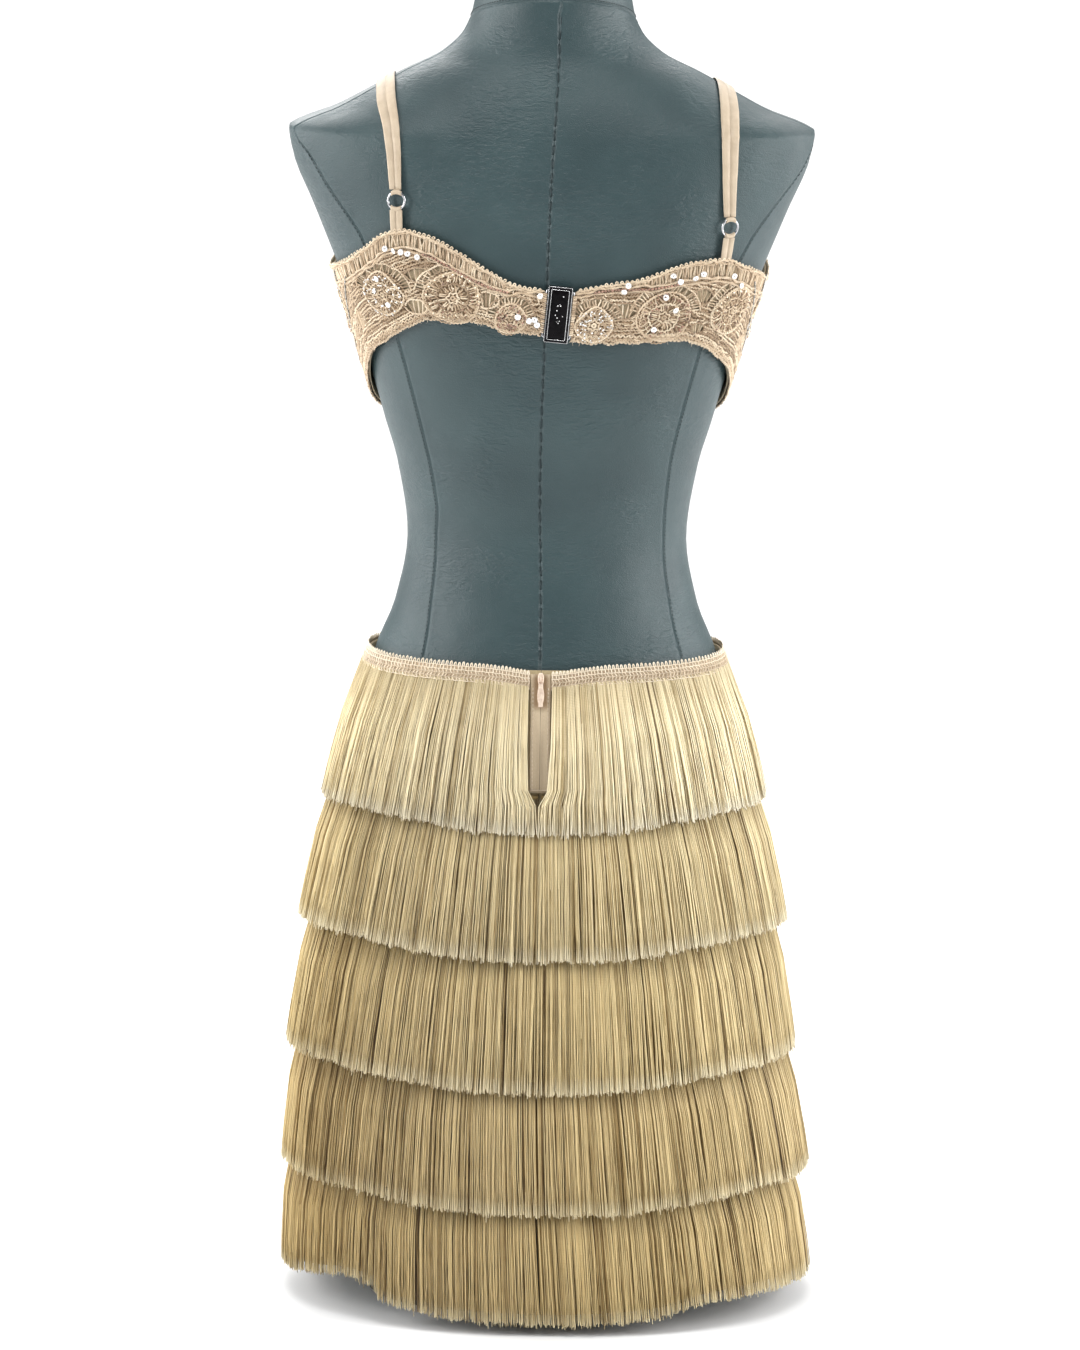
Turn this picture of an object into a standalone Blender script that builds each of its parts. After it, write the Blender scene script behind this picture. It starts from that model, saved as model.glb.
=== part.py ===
"""Crochet mini dress with a five-tier fringe skirt, on a limbless dress form.

The tables are in millimetres and the scene is in metres. +Z is up, the back of the dress faces +Y and
the wearer's left is +X. The origin is the centre of the form's flat base. Angles run round the body
from the centre back: 90 is the wearer's left side, 180 the centre front and -90 the right side.
"""

import math
import random
from functools import lru_cache

import bmesh
import bpy
from mathutils import Matrix, Vector

MM = 0.001
COLLECTION = "crochet_mini_dress"
CUTTERS = "cutters"
SEAM = 0.3  # gap left between pieces that touch
CENTRE_FRONT_GAP = 1.8  # at the inner side: the two walls thicken towards each other in the hollow there

# Sections of the dress form from its flat base up. Squareness 2 is an ellipse, more is boxier.
FORM_COLUMNS = ("height", "half_width", "back", "front", "squareness")
FORM_SECTIONS = (
    (0, 132, 96, 96, 2.2),
    (32, 153, 115, 115, 2.2),
    (68, 173, 134, 134, 2.2),
    (108, 184, 144, 144, 2.2),
    (188, 179, 139, 139, 2.2),
    (289, 169, 129, 129, 2.2),
    (383, 157, 117, 117, 2.2),
    (440, 146, 107, 106, 2.2),
    (503, 131, 94, 92, 2.2),
    (541, 116, 84, 86, 2.15),
    (592, 107, 77, 80, 2.1),
    (648, 115, 83, 83, 2.15),
    (683, 125, 89, 88, 2.2),
    (709, 131, 93, 92, 2.3),
    (760, 146, 99, 94, 2.4),
    (801, 162, 102, 90, 2.5),
    (847, 181, 101, 80, 2.5),
    (886, 197, 96, 68, 2.5),
    (905, 200, 91, 61, 2.5),
    (911, 190, 88, 58, 2.4),
    (920, 166, 84, 54, 2.3),
    (932, 143, 79, 50, 2.2),
    (949, 112, 71, 46, 2.1),
    (963, 84, 65, 45, 2.0),
    (980, 67, 60, 46, 2.0),
    (1000, 60, 55, 49, 2.0),
    (1030, 56, 51, 53, 2.0),
    (1052, 55, 50, 54, 2.0),
)
FORM_SEGMENTS = 40
SHOULDER_EDGE_HEIGHT = 905  # above it the sections narrow to the neck
NECK_BASE_HEIGHT = 1000
BISECTIONS = 30
# Spacing of the form's rings in each stretch of its height.
FORM_RINGS = ((0, 126, 31.5), (126, 500, 62), (500, 640, 35), (640, 780, 17.5), (780, 900, 24), (900, 970, 10), (970, 1052, 27))

# The bust swells the sections by a share of their radius round one centre on each side of the front.
BUST_HEIGHT = 728
BUST_SWELL = 0.34
BUST_ANGLE = 38
BUST_SPREAD = 31
BUST_REACH_DOWN = 34
BUST_REACH_UP = 55

NECK_CAP_TOP = 1062
NECK_CAP_INSET = 2
NECK_CAP_SEGMENTS = 24

# How far each layer of cloth stands off the form, and its thickness.
LINING_OFFSET = 2.6
LINING_THICKNESS = 1.0
LACE_OFFSET = 4.3
LACE_THICKNESS = 1.5
LACE_RELIEF = 1.3
SKIRT_OFFSET = 3.0
SKIRT_THICKNESS = 1.5
BRAID_OFFSET = 5.5
BRAID_THICKNESS = 1.7

# Edges of the bodice pieces, as heights at angles round the body.
EDGE_COLUMNS = ("angle", "bottom", "top")
BACK_LEFT_EDGES = (
    (2.95, 760, 793),
    (15, 762, 797),
    (28, 768, 810),
    (37, 770, 822),
    (45, 770, 832),
    (51, 765, 836),
    (56, 759, 833),
    (63, 750, 820),
    (72, 738, 808),
    (82, 719, 802),
    (90, 706, 800),
)
BACK_RIGHT_EDGES = (
    (-90, 706, 795),
    (-82, 718, 797),
    (-74, 730, 803),
    (-66, 740, 810),
    (-59, 749, 816),
    (-50, 755, 814),
    (-42, 755, 808),
    (-35, 754, 802),
    (-23, 754, 798),
    (-9.85, 755, 793),
)
FRONT_EDGES = (
    (90, 706, 800),
    (97, 696, 801),
    (106, 687, 808),
    (116, 683, 826),
    (124, 681, 846),
    (132, 680, 838),
    (144, 680, 814),
    (158, 684, 792),
    (170, 691, 777),
    (180, 694, 772),
)
FRONT_RIGHT_SIDE_TOP = 795
MIDRIFF_SEAM = 1.5  # below the front, whose lower edge leans over it

# Half angle that the midriff panel covers at each height.
MIDRIFF_COLUMNS = ("height", "half_angle")
MIDRIFF_WIDTHS = (
    (503.5, 30),
    (545, 25),
    (592, 22),
    (640, 24),
    (696, 28),
)

# Rosettes worked in the lace, and the gaps cut through it between them.
ROSETTE_COLUMNS = ("angle", "height", "radius")
BACK_LEFT_ROSETTES = ((59, 786, 17), (37.5, 786, 20), (16, 769, 12), (89, 767, 20))
BACK_RIGHT_ROSETTES = ((-18.6, 767, 15), (-43.7, 773, 20), (-66, 773, 20), (-89, 770, 19))
FRONT_ROSETTES = ((92, 767, 20), (113, 745, 21), (124, 806, 17), (141, 735, 25), (163, 735, 17), (150, 785, 14))
MIDRIFF_ROSETTES = ((180, 665, 19), (180, 622, 16), (180, 580, 16), (180, 536, 19))
GAP_COLUMNS = ("angle", "height", "width", "height_of_gap")
BACK_LEFT_GAPS = ((48, 803, 12, 9), (49, 779, 10, 9), (25.5, 785, 12, 9), (73.5, 766, 9, 13), (73, 790, 9, 8))
BACK_RIGHT_GAPS = ((-29.8, 778, 12, 9), (-54, 788, 11, 9), (-56, 765, 9, 8), (-78, 786, 9, 8), (-78, 748, 9, 9))
FRONT_GAPS = (
    (103, 780, 11, 11),
    (103, 712, 11, 11),
    (120, 778, 11, 10),
    (127, 762, 11, 10),
    (127, 705, 12, 11),
    (138, 783, 10, 10),
    (153, 758, 10, 10),
    (153, 707, 11, 11),
    (172, 757, 11, 10),
    (172, 708, 10, 10),
)
MIDRIFF_GAPS = (
    (170, 645, 10, 9),
    (190, 645, 10, 9),
    (171, 601, 9, 9),
    (189, 601, 9, 9),
    (170, 556, 10, 9),
    (190, 556, 10, 9),
)

# Straps from the ring over the shoulder to the front peak. Fraction 0 is at the ring.
STRAP_COLUMNS = ("fraction", "centre_x", "width")
LEFT_STRAP = ((0, 116, 8.5), (0.16, 120, 12), (0.32, 125, 14), (0.5, 126, 14), (0.75, 118, 13), (1, 106, 11))
RIGHT_STRAP = ((0, 133, 8.5), (0.16, 134, 12), (0.32, 133.5, 14), (0.5, 131, 14), (0.75, 120, 13), (1, 107, 11))
STRAP_THICKNESS = 1.3
STRAP_OFFSET = 1.0
STRAP_RISE_SHARE = 0.1
STRAP_LENGTH_POINTS = 20
STRAP_FRONT_HEIGHT = 847
RING_RADIUS = 6.6
RING_WIRE = 0.9
RING_STAND_OFF = 3.8
LEFT_RING = (115.0, 858.0)  # x and height of the centre
RIGHT_RING = (-133.0, 840.0)
TAB_WIDTH = 8.0
TAB_THICKNESS = 1.5

# Box clasp at the centre back. The top leans to the wearer's right.
CLASP_CENTRE_X = -6.3
CLASP_HEIGHT = 776
CLASP_WIDTH = 18.0
CLASP_LENGTH = 43.0
CLASP_DEPTH = 4.6
CLASP_RIM = 2.6
CLASP_RECESS = 1.6
CLASP_LEAN = math.radians(-5.2)
CLASP_STAND_OFF = 5.5
CLASP_WIRE = 0.8
CLASP_LOOP_REACH = 1.0
LEAN_FADE_ANGLE = 55

# Skirt, waistband braid and zip.
WAIST_TOP = 503
WAISTBAND_HEIGHT = 11
SKIRT_HEM = 107
SKIRT_ROWS = 7
SKIRT_STEP = 12
ZIP_X = 3.3
ZIP_TAPE_WIDTH = 15.0
ZIP_TAPE_TOP = 502
ZIP_TAPE_NECK = 6.4
WAISTBAND_GAP = 7.6
ZIP_TAPE_BOTTOM = 411
ZIP_TAPE_THICKNESS = 1.0
SLIDER_HEIGHT = 495.0
SLIDER_SIZE = (5.4, 2.0, 10.0)
BRIDGE_RADIUS = 2.3
BRIDGE_WIRE = 0.42
PULL_WIDTH = 5.2
PULL_LENGTH = 20.0
PULL_THICKNESS = 0.9
PULL_EYE = 0.95

# Fringe tiers: the strip's top, where the tips end, and the outer size round the tips.
TIER_COLUMNS = ("strip_top", "tip_height", "half_width", "half_depth", "slit")
FRINGE_TIERS = (
    (491.6, 383, 171, 131, 17),
    (409, 288, 188, 148, 2.5),
    (315, 188, 197, 158, 2.5),
    (214, 95, 204, 165, 2.5),
    (118, 10, 205, 165, 2.5),
)
LOCKS_A_TIER = 36
STRIP_HEIGHT = 7.5
LOCK_SHARE = 0.86
LOCK_THICKNESS = 3.0
LOCK_BULGE = 4.0
LOCK_TIP_SPREAD = 2.0
# How much higher the tips end round the sides, where the fringe rides up over the hips.
TIP_LIFT_COLUMNS = ("from_back", "lift")
TIP_LIFT = ((0, -3), (22, -1), (45, 5), (62, 8), (90, 7), (135, 3), (180, 0))
TIP_SQUARENESS = 2.2
SEED = 7

COLORS = {
    "form_leather": ((0.055, 0.105, 0.115), 0.42, 0.0),
    "lace_thread": ((0.67, 0.50, 0.34), 0.85, 0.0),
    "lining_mesh": ((0.42, 0.36, 0.24), 0.7, 0.0),
    "strap_satin": ((0.80, 0.63, 0.47), 0.45, 0.0),
    "skirt_cloth": ((0.62, 0.50, 0.33), 0.8, 0.0),
    "fringe_thread": ((0.60, 0.49, 0.27), 0.6, 0.0),
    "polished_metal": ((0.62, 0.62, 0.62), 0.15, 1.0),
    "dark_enamel": ((0.01, 0.01, 0.012), 0.08, 0.0),
    "zip_metal": ((0.60, 0.45, 0.36), 0.35, 0.6),
    "zip_tape": ((0.55, 0.45, 0.35), 0.8, 0.0),
}


# Tables

def slopes(xs, ys):
    """Slopes that keep a curve through the points from overshooting."""
    steps = [xs[i + 1] - xs[i] for i in range(len(xs) - 1)]
    rises = [(ys[i + 1] - ys[i]) / steps[i] for i in range(len(steps))]
    found = [rises[0]]
    for i in range(1, len(steps)):
        before, after = rises[i - 1], rises[i]
        if before * after <= 0:
            found.append(0.0)
            continue
        w_before = 2 * steps[i] + steps[i - 1]
        w_after = steps[i] + 2 * steps[i - 1]
        found.append((w_before + w_after) / (w_before / before + w_after / after))
    return found + [rises[-1]]


@lru_cache(maxsize=None)
def column(rows, index):
    """One column of a table against its first, with the slopes at its points."""
    xs = [row[0] for row in rows]
    ys = [row[index] for row in rows]
    return xs, ys, slopes(xs, ys)


def read(rows, columns, name, at):
    """The value of a named column at any place along the table, on a smooth curve."""
    xs, ys, rises = column(rows, columns.index(name))
    i = 0
    while i < len(xs) - 2 and at > xs[i + 1]:
        i += 1
    step = xs[i + 1] - xs[i]
    s = (at - xs[i]) / step
    value = (1 + 2 * s) * (1 - s) ** 2 * ys[i] + s * (1 - s) ** 2 * step * rises[i]
    return value + s * s * (3 - 2 * s) * ys[i + 1] + s * s * (s - 1) * step * rises[i + 1]


# The form's surface

def bust_swell(angle, height):
    from_front = 180 - abs((angle + 180) % 360 - 180)
    reach = BUST_REACH_DOWN if height < BUST_HEIGHT else BUST_REACH_UP
    level = math.exp(-(((height - BUST_HEIGHT) / reach) ** 2))
    near = math.exp(-(((from_front - BUST_ANGLE) / BUST_SPREAD) ** 2))
    far = math.exp(-(((from_front + BUST_ANGLE) / BUST_SPREAD) ** 2))
    return 1 + BUST_SWELL * level * (near + far)


def oval_radius(angle, half_width, depth, squareness):
    sideways = abs(math.sin(math.radians(angle))) / half_width
    endways = abs(math.cos(math.radians(angle))) / depth
    return (sideways ** squareness + endways ** squareness) ** (-1 / squareness)


def form_radius(angle, height):
    half_width = read(FORM_SECTIONS, FORM_COLUMNS, "half_width", height)
    depth_name = "back" if math.cos(math.radians(angle)) > 0 else "front"
    depth = read(FORM_SECTIONS, FORM_COLUMNS, depth_name, height)
    squareness = read(FORM_SECTIONS, FORM_COLUMNS, "squareness", height)
    return oval_radius(angle, half_width, depth, squareness) * bust_swell(angle, height)


def round_point(angle, radius, height):
    turn = math.radians(angle)
    return Vector((radius * math.sin(turn), radius * math.cos(turn), height))


def form_point(angle, height):
    return round_point(angle, form_radius(angle, height), height)


def form_normal(angle, height):
    along = form_point(angle + 0.5, height) - form_point(angle - 0.5, height)
    up = form_point(angle, height + 1) - form_point(angle, height - 1)
    return up.cross(along).normalized()


def cloth_point(angle, height, offset):
    return form_point(angle, height) + form_normal(angle, height) * offset


# Objects

def material(name):
    color, roughness, metallic = COLORS[name]
    made = bpy.data.materials.get(name)
    if made:
        return made
    made = bpy.data.materials.new(name)
    made.use_nodes = True
    shader = made.node_tree.nodes["Principled BSDF"]
    shader.inputs["Base Color"].default_value = (*color, 1.0)
    shader.inputs["Roughness"].default_value = roughness
    shader.inputs["Metallic"].default_value = metallic
    return made


def collection(name):
    found = bpy.data.collections.get(name)
    if not found:
        found = bpy.data.collections.new(name)
        bpy.context.scene.collection.children.link(found)
    return found


def add_object(name, data, material_name, parent=None):
    made = bpy.data.objects.new(name, data)
    data.materials.append(material(material_name))
    collection(COLLECTION).objects.link(made)
    made.parent = parent
    return made


def mesh_from_bmesh(name, shape, smooth=True):
    mesh = bpy.data.meshes.new(name)
    bmesh.ops.recalc_face_normals(shape, faces=shape.faces)
    shape.to_mesh(mesh)
    shape.free()
    if smooth:
        mesh.shade_smooth()
        mesh.set_sharp_from_angle(angle=math.radians(40))
    return mesh


def add_cutter(name, shape):
    cutter = bpy.data.objects.new(name, mesh_from_bmesh(name, shape))
    collection(CUTTERS).objects.link(cutter)
    cutter.hide_render = True
    cutter.display_type = "WIRE"
    return cutter


def boolean(target, other, operation):
    step = target.modifiers.new(operation.title(), "BOOLEAN")
    step.operation = operation
    step.object = other
    step.solver = "EXACT"


def box_shape(size, centre=(0, 0, 0)):
    """A box of that size in millimetres."""
    shape = bmesh.new()
    bmesh.ops.create_cube(shape, size=1.0)
    bmesh.ops.scale(shape, vec=Vector(size) * MM, verts=shape.verts)
    bmesh.ops.translate(shape, vec=Vector(centre) * MM, verts=shape.verts)
    return shape


def wall(name, grid, thickness, material_name, holes=(), relief=None):
    """A cloth wall outside a grid of inner points, a list of columns of points from bottom to top.
    Holes are cells left out, and relief gives each point's share of the full thickness."""
    shape = bmesh.new()
    points = [[shape.verts.new(point * MM) for point in line] for line in grid]
    for u in range(len(grid) - 1):
        for v in range(len(grid[0]) - 1):
            if (u, v) in holes:
                continue
            shape.faces.new((points[u][v], points[u][v + 1], points[u + 1][v + 1], points[u + 1][v]))
    loose = [vert for vert in shape.verts if not vert.link_faces]
    kept = [(u, v) for u in range(len(grid)) for v in range(len(grid[0])) if points[u][v].link_faces]
    bmesh.ops.delete(shape, geom=loose, context="VERTS")
    mesh = bpy.data.meshes.new(name)
    shape.to_mesh(mesh)
    shape.free()
    mesh.shade_smooth()
    made = add_object(name, mesh, material_name)
    skin = made.modifiers.new("Thickness", "SOLIDIFY")
    skin.thickness = thickness * MM
    skin.offset = 1.0
    skin.use_even_offset = False
    if relief:
        group = made.vertex_groups.new(name="relief")
        for index, place in enumerate(kept):
            group.add([index], relief[place], "REPLACE")
        skin.vertex_group = "relief"
    return made


# The dress form

def ring_heights():
    heights = []
    for low, high, step in FORM_RINGS:
        count = round((high - low) / step)
        heights += [low + (high - low) * i / count for i in range(count)]
    return heights + [FORM_RINGS[-1][1]]


def loft(rings):
    """A closed solid through rings of points, with a flat cap at each end."""
    shape = bmesh.new()
    loops = [[shape.verts.new(point * MM) for point in ring] for ring in rings]
    for lower, upper in zip(loops, loops[1:]):
        for i in range(len(lower)):
            j = (i + 1) % len(lower)
            shape.faces.new((lower[i], upper[i], upper[j], lower[j]))
    shape.faces.new(loops[0])
    shape.faces.new(loops[-1])
    return shape


def make_form():
    angles = [360 * i / FORM_SEGMENTS for i in range(FORM_SEGMENTS)]
    rings = [[form_point(angle, height) for angle in angles] for height in ring_heights()]
    add_object("dress_form", mesh_from_bmesh("dress_form", loft(rings)), "form_leather")


def make_neck_cap():
    angles = [360 * i / NECK_CAP_SEGMENTS for i in range(NECK_CAP_SEGMENTS)]
    neck_top = FORM_RINGS[-1][1]
    levels = ((neck_top + SEAM, 0), (NECK_CAP_TOP - 3, 0), (NECK_CAP_TOP, 4))
    rings = []
    for height, inset in levels:
        radii = [form_radius(angle, neck_top) - NECK_CAP_INSET - inset for angle in angles]
        rings.append([round_point(angle, radius, height) for angle, radius in zip(angles, radii)])
    add_object("form_neck_cap", mesh_from_bmesh("form_neck_cap", loft(rings)), "form_leather")


# Bodice

def front_edges(side):
    """The front's edge table for the left (1) or right (-1) side."""
    if side > 0:
        return FRONT_EDGES
    first = FRONT_EDGES[0]
    return ((first[0], first[1], FRONT_RIGHT_SIDE_TOP),) + FRONT_EDGES[1:]


def clasp_lean(angle, height):
    """How far an angle shifts so that the band's end runs along the leaning clasp."""
    fade = max(0.0, 1 - abs(angle) / LEAN_FADE_ANGLE)
    slide = math.tan(CLASP_LEAN) * (height - CLASP_HEIGHT)
    return fade * math.degrees(slide / form_radius(0, CLASP_HEIGHT))


def panel_grid(edges, low, high, columns, rows, side=1, margin=0.0):
    """Places (angle, height) over a bodice panel between two angles."""
    grid = []
    for u in range(columns + 1):
        angle = low + (high - low) * u / columns
        bottom = read(edges, EDGE_COLUMNS, "bottom", angle) + margin
        top = read(edges, EDGE_COLUMNS, "top", angle) - margin
        heights = [bottom + (top - bottom) * v / rows for v in range(rows + 1)]
        grid.append([(side * angle + clasp_lean(angle, height), height) for height in heights])
    if side < 0:
        grid.reverse()
    return grid


def lifted(grid, offset):
    return [[cloth_point(angle, height, offset) for angle, height in line] for line in grid]


def distance(place, centre):
    """Distance in millimetres on the surface between two places given as angle and height."""
    radius = form_radius(centre[0], centre[1])
    along = math.radians(place[0] - centre[0]) * radius
    return math.hypot(along, place[1] - centre[1])


def rosette_profile(share):
    """Height of a rosette's relief at a share of its radius: a knob, a groove and a ring."""
    if share > 1.15:
        return 0.0
    return 0.55 + 0.45 * math.cos(2 * math.pi * share * 1.2) if share < 0.85 else 0.6


def lace_relief(grid, rosettes):
    """The share of the full thickness at each point: rosettes and both edges stand out."""
    full = LACE_THICKNESS + LACE_RELIEF
    relief = {}
    last = len(grid[0]) - 1
    for u, line in enumerate(grid):
        for v, place in enumerate(line):
            raised = 0.45 if v in (0, last) else 0.0
            for angle, height, radius in rosettes:
                raised = max(raised, rosette_profile(distance(place, (angle, height)) / radius))
            relief[(u, v)] = (LACE_THICKNESS + LACE_RELIEF * raised) / full
    return relief


def cell_middle(grid, u, v):
    return [(a + b) / 2 for a, b in zip(grid[u][v], grid[u + 1][v + 1])]


def gap_cells(grid, gap):
    """The block of cells nearest to a gap, as wide and tall as it. The outermost cells are kept."""
    angle, height, width, tall = gap
    inside = [(u, v) for u in range(1, len(grid) - 2) for v in range(1, len(grid[0]) - 2)]
    u, v = min(inside, key=lambda cell: distance(cell_middle(grid, *cell), (angle, height)))
    cell_width = distance(grid[u][v], (grid[u + 1][v][0], grid[u][v][1]))
    cell_height = grid[u][v + 1][1] - grid[u][v][1]
    wide = range(u, u + max(1, round(width / cell_width)))
    high = range(v, v + max(1, round(tall / cell_height)))
    return {(a, b) for a in wide for b in high if (a, b) in inside}


def lace_holes(grid, gaps):
    """Cells left out of the lace. A gap that would meet another at a corner is left whole."""
    holes = set()
    for gap in gaps:
        cells = gap_cells(grid, gap)
        around = {(u + i, v + j) for u, v in cells for i in (-1, 0, 1) for j in (-1, 0, 1)}
        if not holes & around:
            holes |= cells
    return holes


def make_lace(name, grid, rosettes, gaps):
    full = LACE_THICKNESS + LACE_RELIEF
    holes = lace_holes(grid, gaps)
    wall(name, lifted(grid, LACE_OFFSET), full, "lace_thread", holes, lace_relief(grid, rosettes))


def make_lining(name, grid):
    wall(name, lifted(grid, LINING_OFFSET), LINING_THICKNESS, "lining_mesh")


def seam_angle(gap=SEAM, radius=150):
    """Half of a seam's gap as an angle round the body."""
    return math.degrees(gap / 2 / radius)


def make_back():
    near = seam_angle()
    left = (BACK_LEFT_EDGES, BACK_LEFT_EDGES[0][0], 90 - near)
    right = (BACK_RIGHT_EDGES, -90 + near, BACK_RIGHT_EDGES[-1][0])
    sides = (
        ("left", left, BACK_LEFT_ROSETTES, BACK_LEFT_GAPS),
        ("right", right, BACK_RIGHT_ROSETTES, BACK_RIGHT_GAPS),
    )
    for side, (edges, low, high), rosettes, gaps in sides:
        make_lace(f"crochet_back_{side}", panel_grid(edges, low, high, 26, 7), rosettes, gaps)
        make_lining(f"lining_back_{side}", panel_grid(edges, low, high, 13, 3, margin=1.0))


def make_front():
    low = 90 + seam_angle()
    high = 180 - seam_angle(CENTRE_FRONT_GAP, 95)
    for side, sign in (("left", 1), ("right", -1)):
        edges = front_edges(sign)
        rosettes = [(sign * angle, height, radius) for angle, height, radius in FRONT_ROSETTES]
        gaps = [(sign * angle, height, width, tall) for angle, height, width, tall in FRONT_GAPS]
        lace = panel_grid(edges, low, high, 20, 9, sign)
        make_lace(f"crochet_front_{side}", lace, rosettes, gaps)
        lining = panel_grid(edges, low, high, 10, 9, sign)
        make_lining(f"lining_front_{side}", lining)


def midriff_grid(columns, rows, margin=0.0):
    """The panel from the waistband up to the front's lower edge, across the centre front."""
    grid = []
    for u in range(columns + 1):
        share = 2 * u / columns - 1
        line = []
        for v in range(rows + 1):
            low = WAIST_TOP + 0.5 + margin
            angle = 180 + share * read(MIDRIFF_WIDTHS, MIDRIFF_COLUMNS, "half_angle", 650)
            for _ in range(3):
                edge = read(FRONT_EDGES, EDGE_COLUMNS, "bottom", 180 - abs(angle - 180))
                height = low + (edge - MIDRIFF_SEAM - margin - low) * v / rows
                half = read(MIDRIFF_WIDTHS, MIDRIFF_COLUMNS, "half_angle", height) - margin / 2
                angle = 180 + share * half
            line.append((angle, height))
        grid.append(line)
    return grid


def make_midriff():
    make_lace("crochet_midriff", midriff_grid(8, 16), MIDRIFF_ROSETTES, MIDRIFF_GAPS)
    make_lining("lining_midriff", midriff_grid(4, 16))


# Straps and rings

def angle_at_x(x, height, back):
    """The angle where the section at this height reaches x, on the back or the front half."""
    low, high = (0.0, 90.0) if back else (180.0, 90.0)
    for _ in range(BISECTIONS):
        middle = (low + high) / 2
        if form_point(middle, height).x < x:
            low = middle
        else:
            high = middle
    return (low + high) / 2


def ridge_height(x):
    """The height of the shoulder's top at x."""
    low, high = SHOULDER_EDGE_HEIGHT, NECK_BASE_HEIGHT
    for _ in range(BISECTIONS):
        middle = (low + high) / 2
        if read(FORM_SECTIONS, FORM_COLUMNS, "half_width", middle) > x:
            low = middle
        else:
            high = middle
    return low


@lru_cache(maxsize=None)
def shoulder_profile(x, start, end):
    """Places (angle, height) evenly spaced from the back, over the shoulder, to the front at x."""
    ridge = ridge_height(x)
    steps = 24
    climb = [math.sin(math.pi / 2 * i / steps) for i in range(steps + 1)]
    places = [(angle_at_x(x, start + (ridge - start) * s, True), start + (ridge - start) * s) for s in climb]
    fall = [(angle_at_x(x, end + (ridge - end) * s, False), end + (ridge - end) * s) for s in climb]
    places += fall[::-1][1:]
    points = [form_point(*place) for place in places]
    run = [0.0]
    for a, b in zip(points, points[1:]):
        run.append(run[-1] + (b - a).length)
    return places, run


def profile_place(x, start, end, share):
    places, run = shoulder_profile(round(x, 3), start, end)
    target = share * run[-1]
    i = 0
    while i < len(run) - 2 and run[i + 1] < target:
        i += 1
    s = (target - run[i]) / max(run[i + 1] - run[i], 1e-6)
    return tuple(a + (b - a) * s for a, b in zip(places[i], places[i + 1]))


def strap_offset(share):
    """The strap rises off the form to meet the ring at its back end and the lace at its front end."""
    at_ring = max(0.0, 1 - share / STRAP_RISE_SHARE)
    at_lace = max(0.0, 1 - (1 - share) / STRAP_RISE_SHARE)
    to_ring = RING_STAND_OFF - STRAP_THICKNESS / 2 - STRAP_OFFSET
    return STRAP_OFFSET + to_ring * at_ring + (LACE_OFFSET - STRAP_OFFSET) * at_lace


def make_strap(side, sign, table, ring_height):
    start = ring_height + RING_RADIUS + RING_WIRE + 2 * SEAM
    grid = []
    for k in (-1, 0, 1):
        line = []
        for i in range(STRAP_LENGTH_POINTS + 1):
            share = i / STRAP_LENGTH_POINTS
            width = read(table, STRAP_COLUMNS, "width", share)
            x = read(table, STRAP_COLUMNS, "centre_x", share) + k * width / 2
            angle, height = profile_place(x, start, STRAP_FRONT_HEIGHT, share)
            line.append(cloth_point(sign * angle, height, strap_offset(share)))
        grid.append(line)
    if sign < 0:
        grid.reverse()
    wall(f"strap_{side}", grid, STRAP_THICKNESS, "strap_satin")


def ring_place(place):
    """The centre of a ring and the outward direction there."""
    x, height = place
    angle = angle_at_x(abs(x), height, True) * (1 if x > 0 else -1)
    return angle, cloth_point(angle, height, RING_STAND_OFF), form_normal(angle, height)


def make_ring(side, place):
    _, centre, normal = ring_place(place)
    bpy.ops.mesh.primitive_torus_add(
        major_radius=RING_RADIUS * MM, minor_radius=RING_WIRE * MM, major_segments=16, minor_segments=6
    )
    made = bpy.context.object
    made.name = f"strap_ring_{side}"
    made.data.materials.append(material("polished_metal"))
    made.data.shade_smooth()
    for holder in list(made.users_collection):
        holder.objects.unlink(made)
    collection(COLLECTION).objects.link(made)
    made.matrix_world = Matrix.Translation(centre * MM) @ normal.to_track_quat("Z", "Y").to_matrix().to_4x4()


def make_tab(side, place, edges):
    """The tab from the ring down to the band's top edge."""
    angle, centre, _ = ring_place(place)
    top = centre.z - RING_RADIUS - RING_WIRE - 2 * SEAM
    half = math.degrees(TAB_WIDTH / 2 / form_radius(angle, top))
    grid = []
    for k in (-1, 0, 1):
        turn = angle + k * half
        edge = read(edges, EDGE_COLUMNS, "top", turn) + 2 * SEAM
        heights = [edge + (top - edge) * v / 3 for v in range(4)]
        grid.append([cloth_point(turn, height, LACE_OFFSET) for height in heights])
    wall(f"strap_tab_{side}", grid, TAB_THICKNESS, "strap_satin")


# Clasp

def clasp_frame_matrix():
    angle = math.degrees(math.atan2(CLASP_CENTRE_X, form_radius(0, CLASP_HEIGHT)))
    centre = cloth_point(angle, CLASP_HEIGHT, CLASP_STAND_OFF)
    normal = form_normal(angle, CLASP_HEIGHT)
    lean_back = math.atan2(normal.z, normal.y)
    turn = Matrix.Rotation(lean_back, 4, "X") @ Matrix.Rotation(CLASP_LEAN, 4, "Y")
    return Matrix.Translation(centre * MM) @ turn


def bevelled(made, width, segments=1):
    step = made.modifiers.new("Edge", "BEVEL")
    step.width = width * MM
    step.segments = segments
    step.limit_method = "ANGLE"


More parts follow.
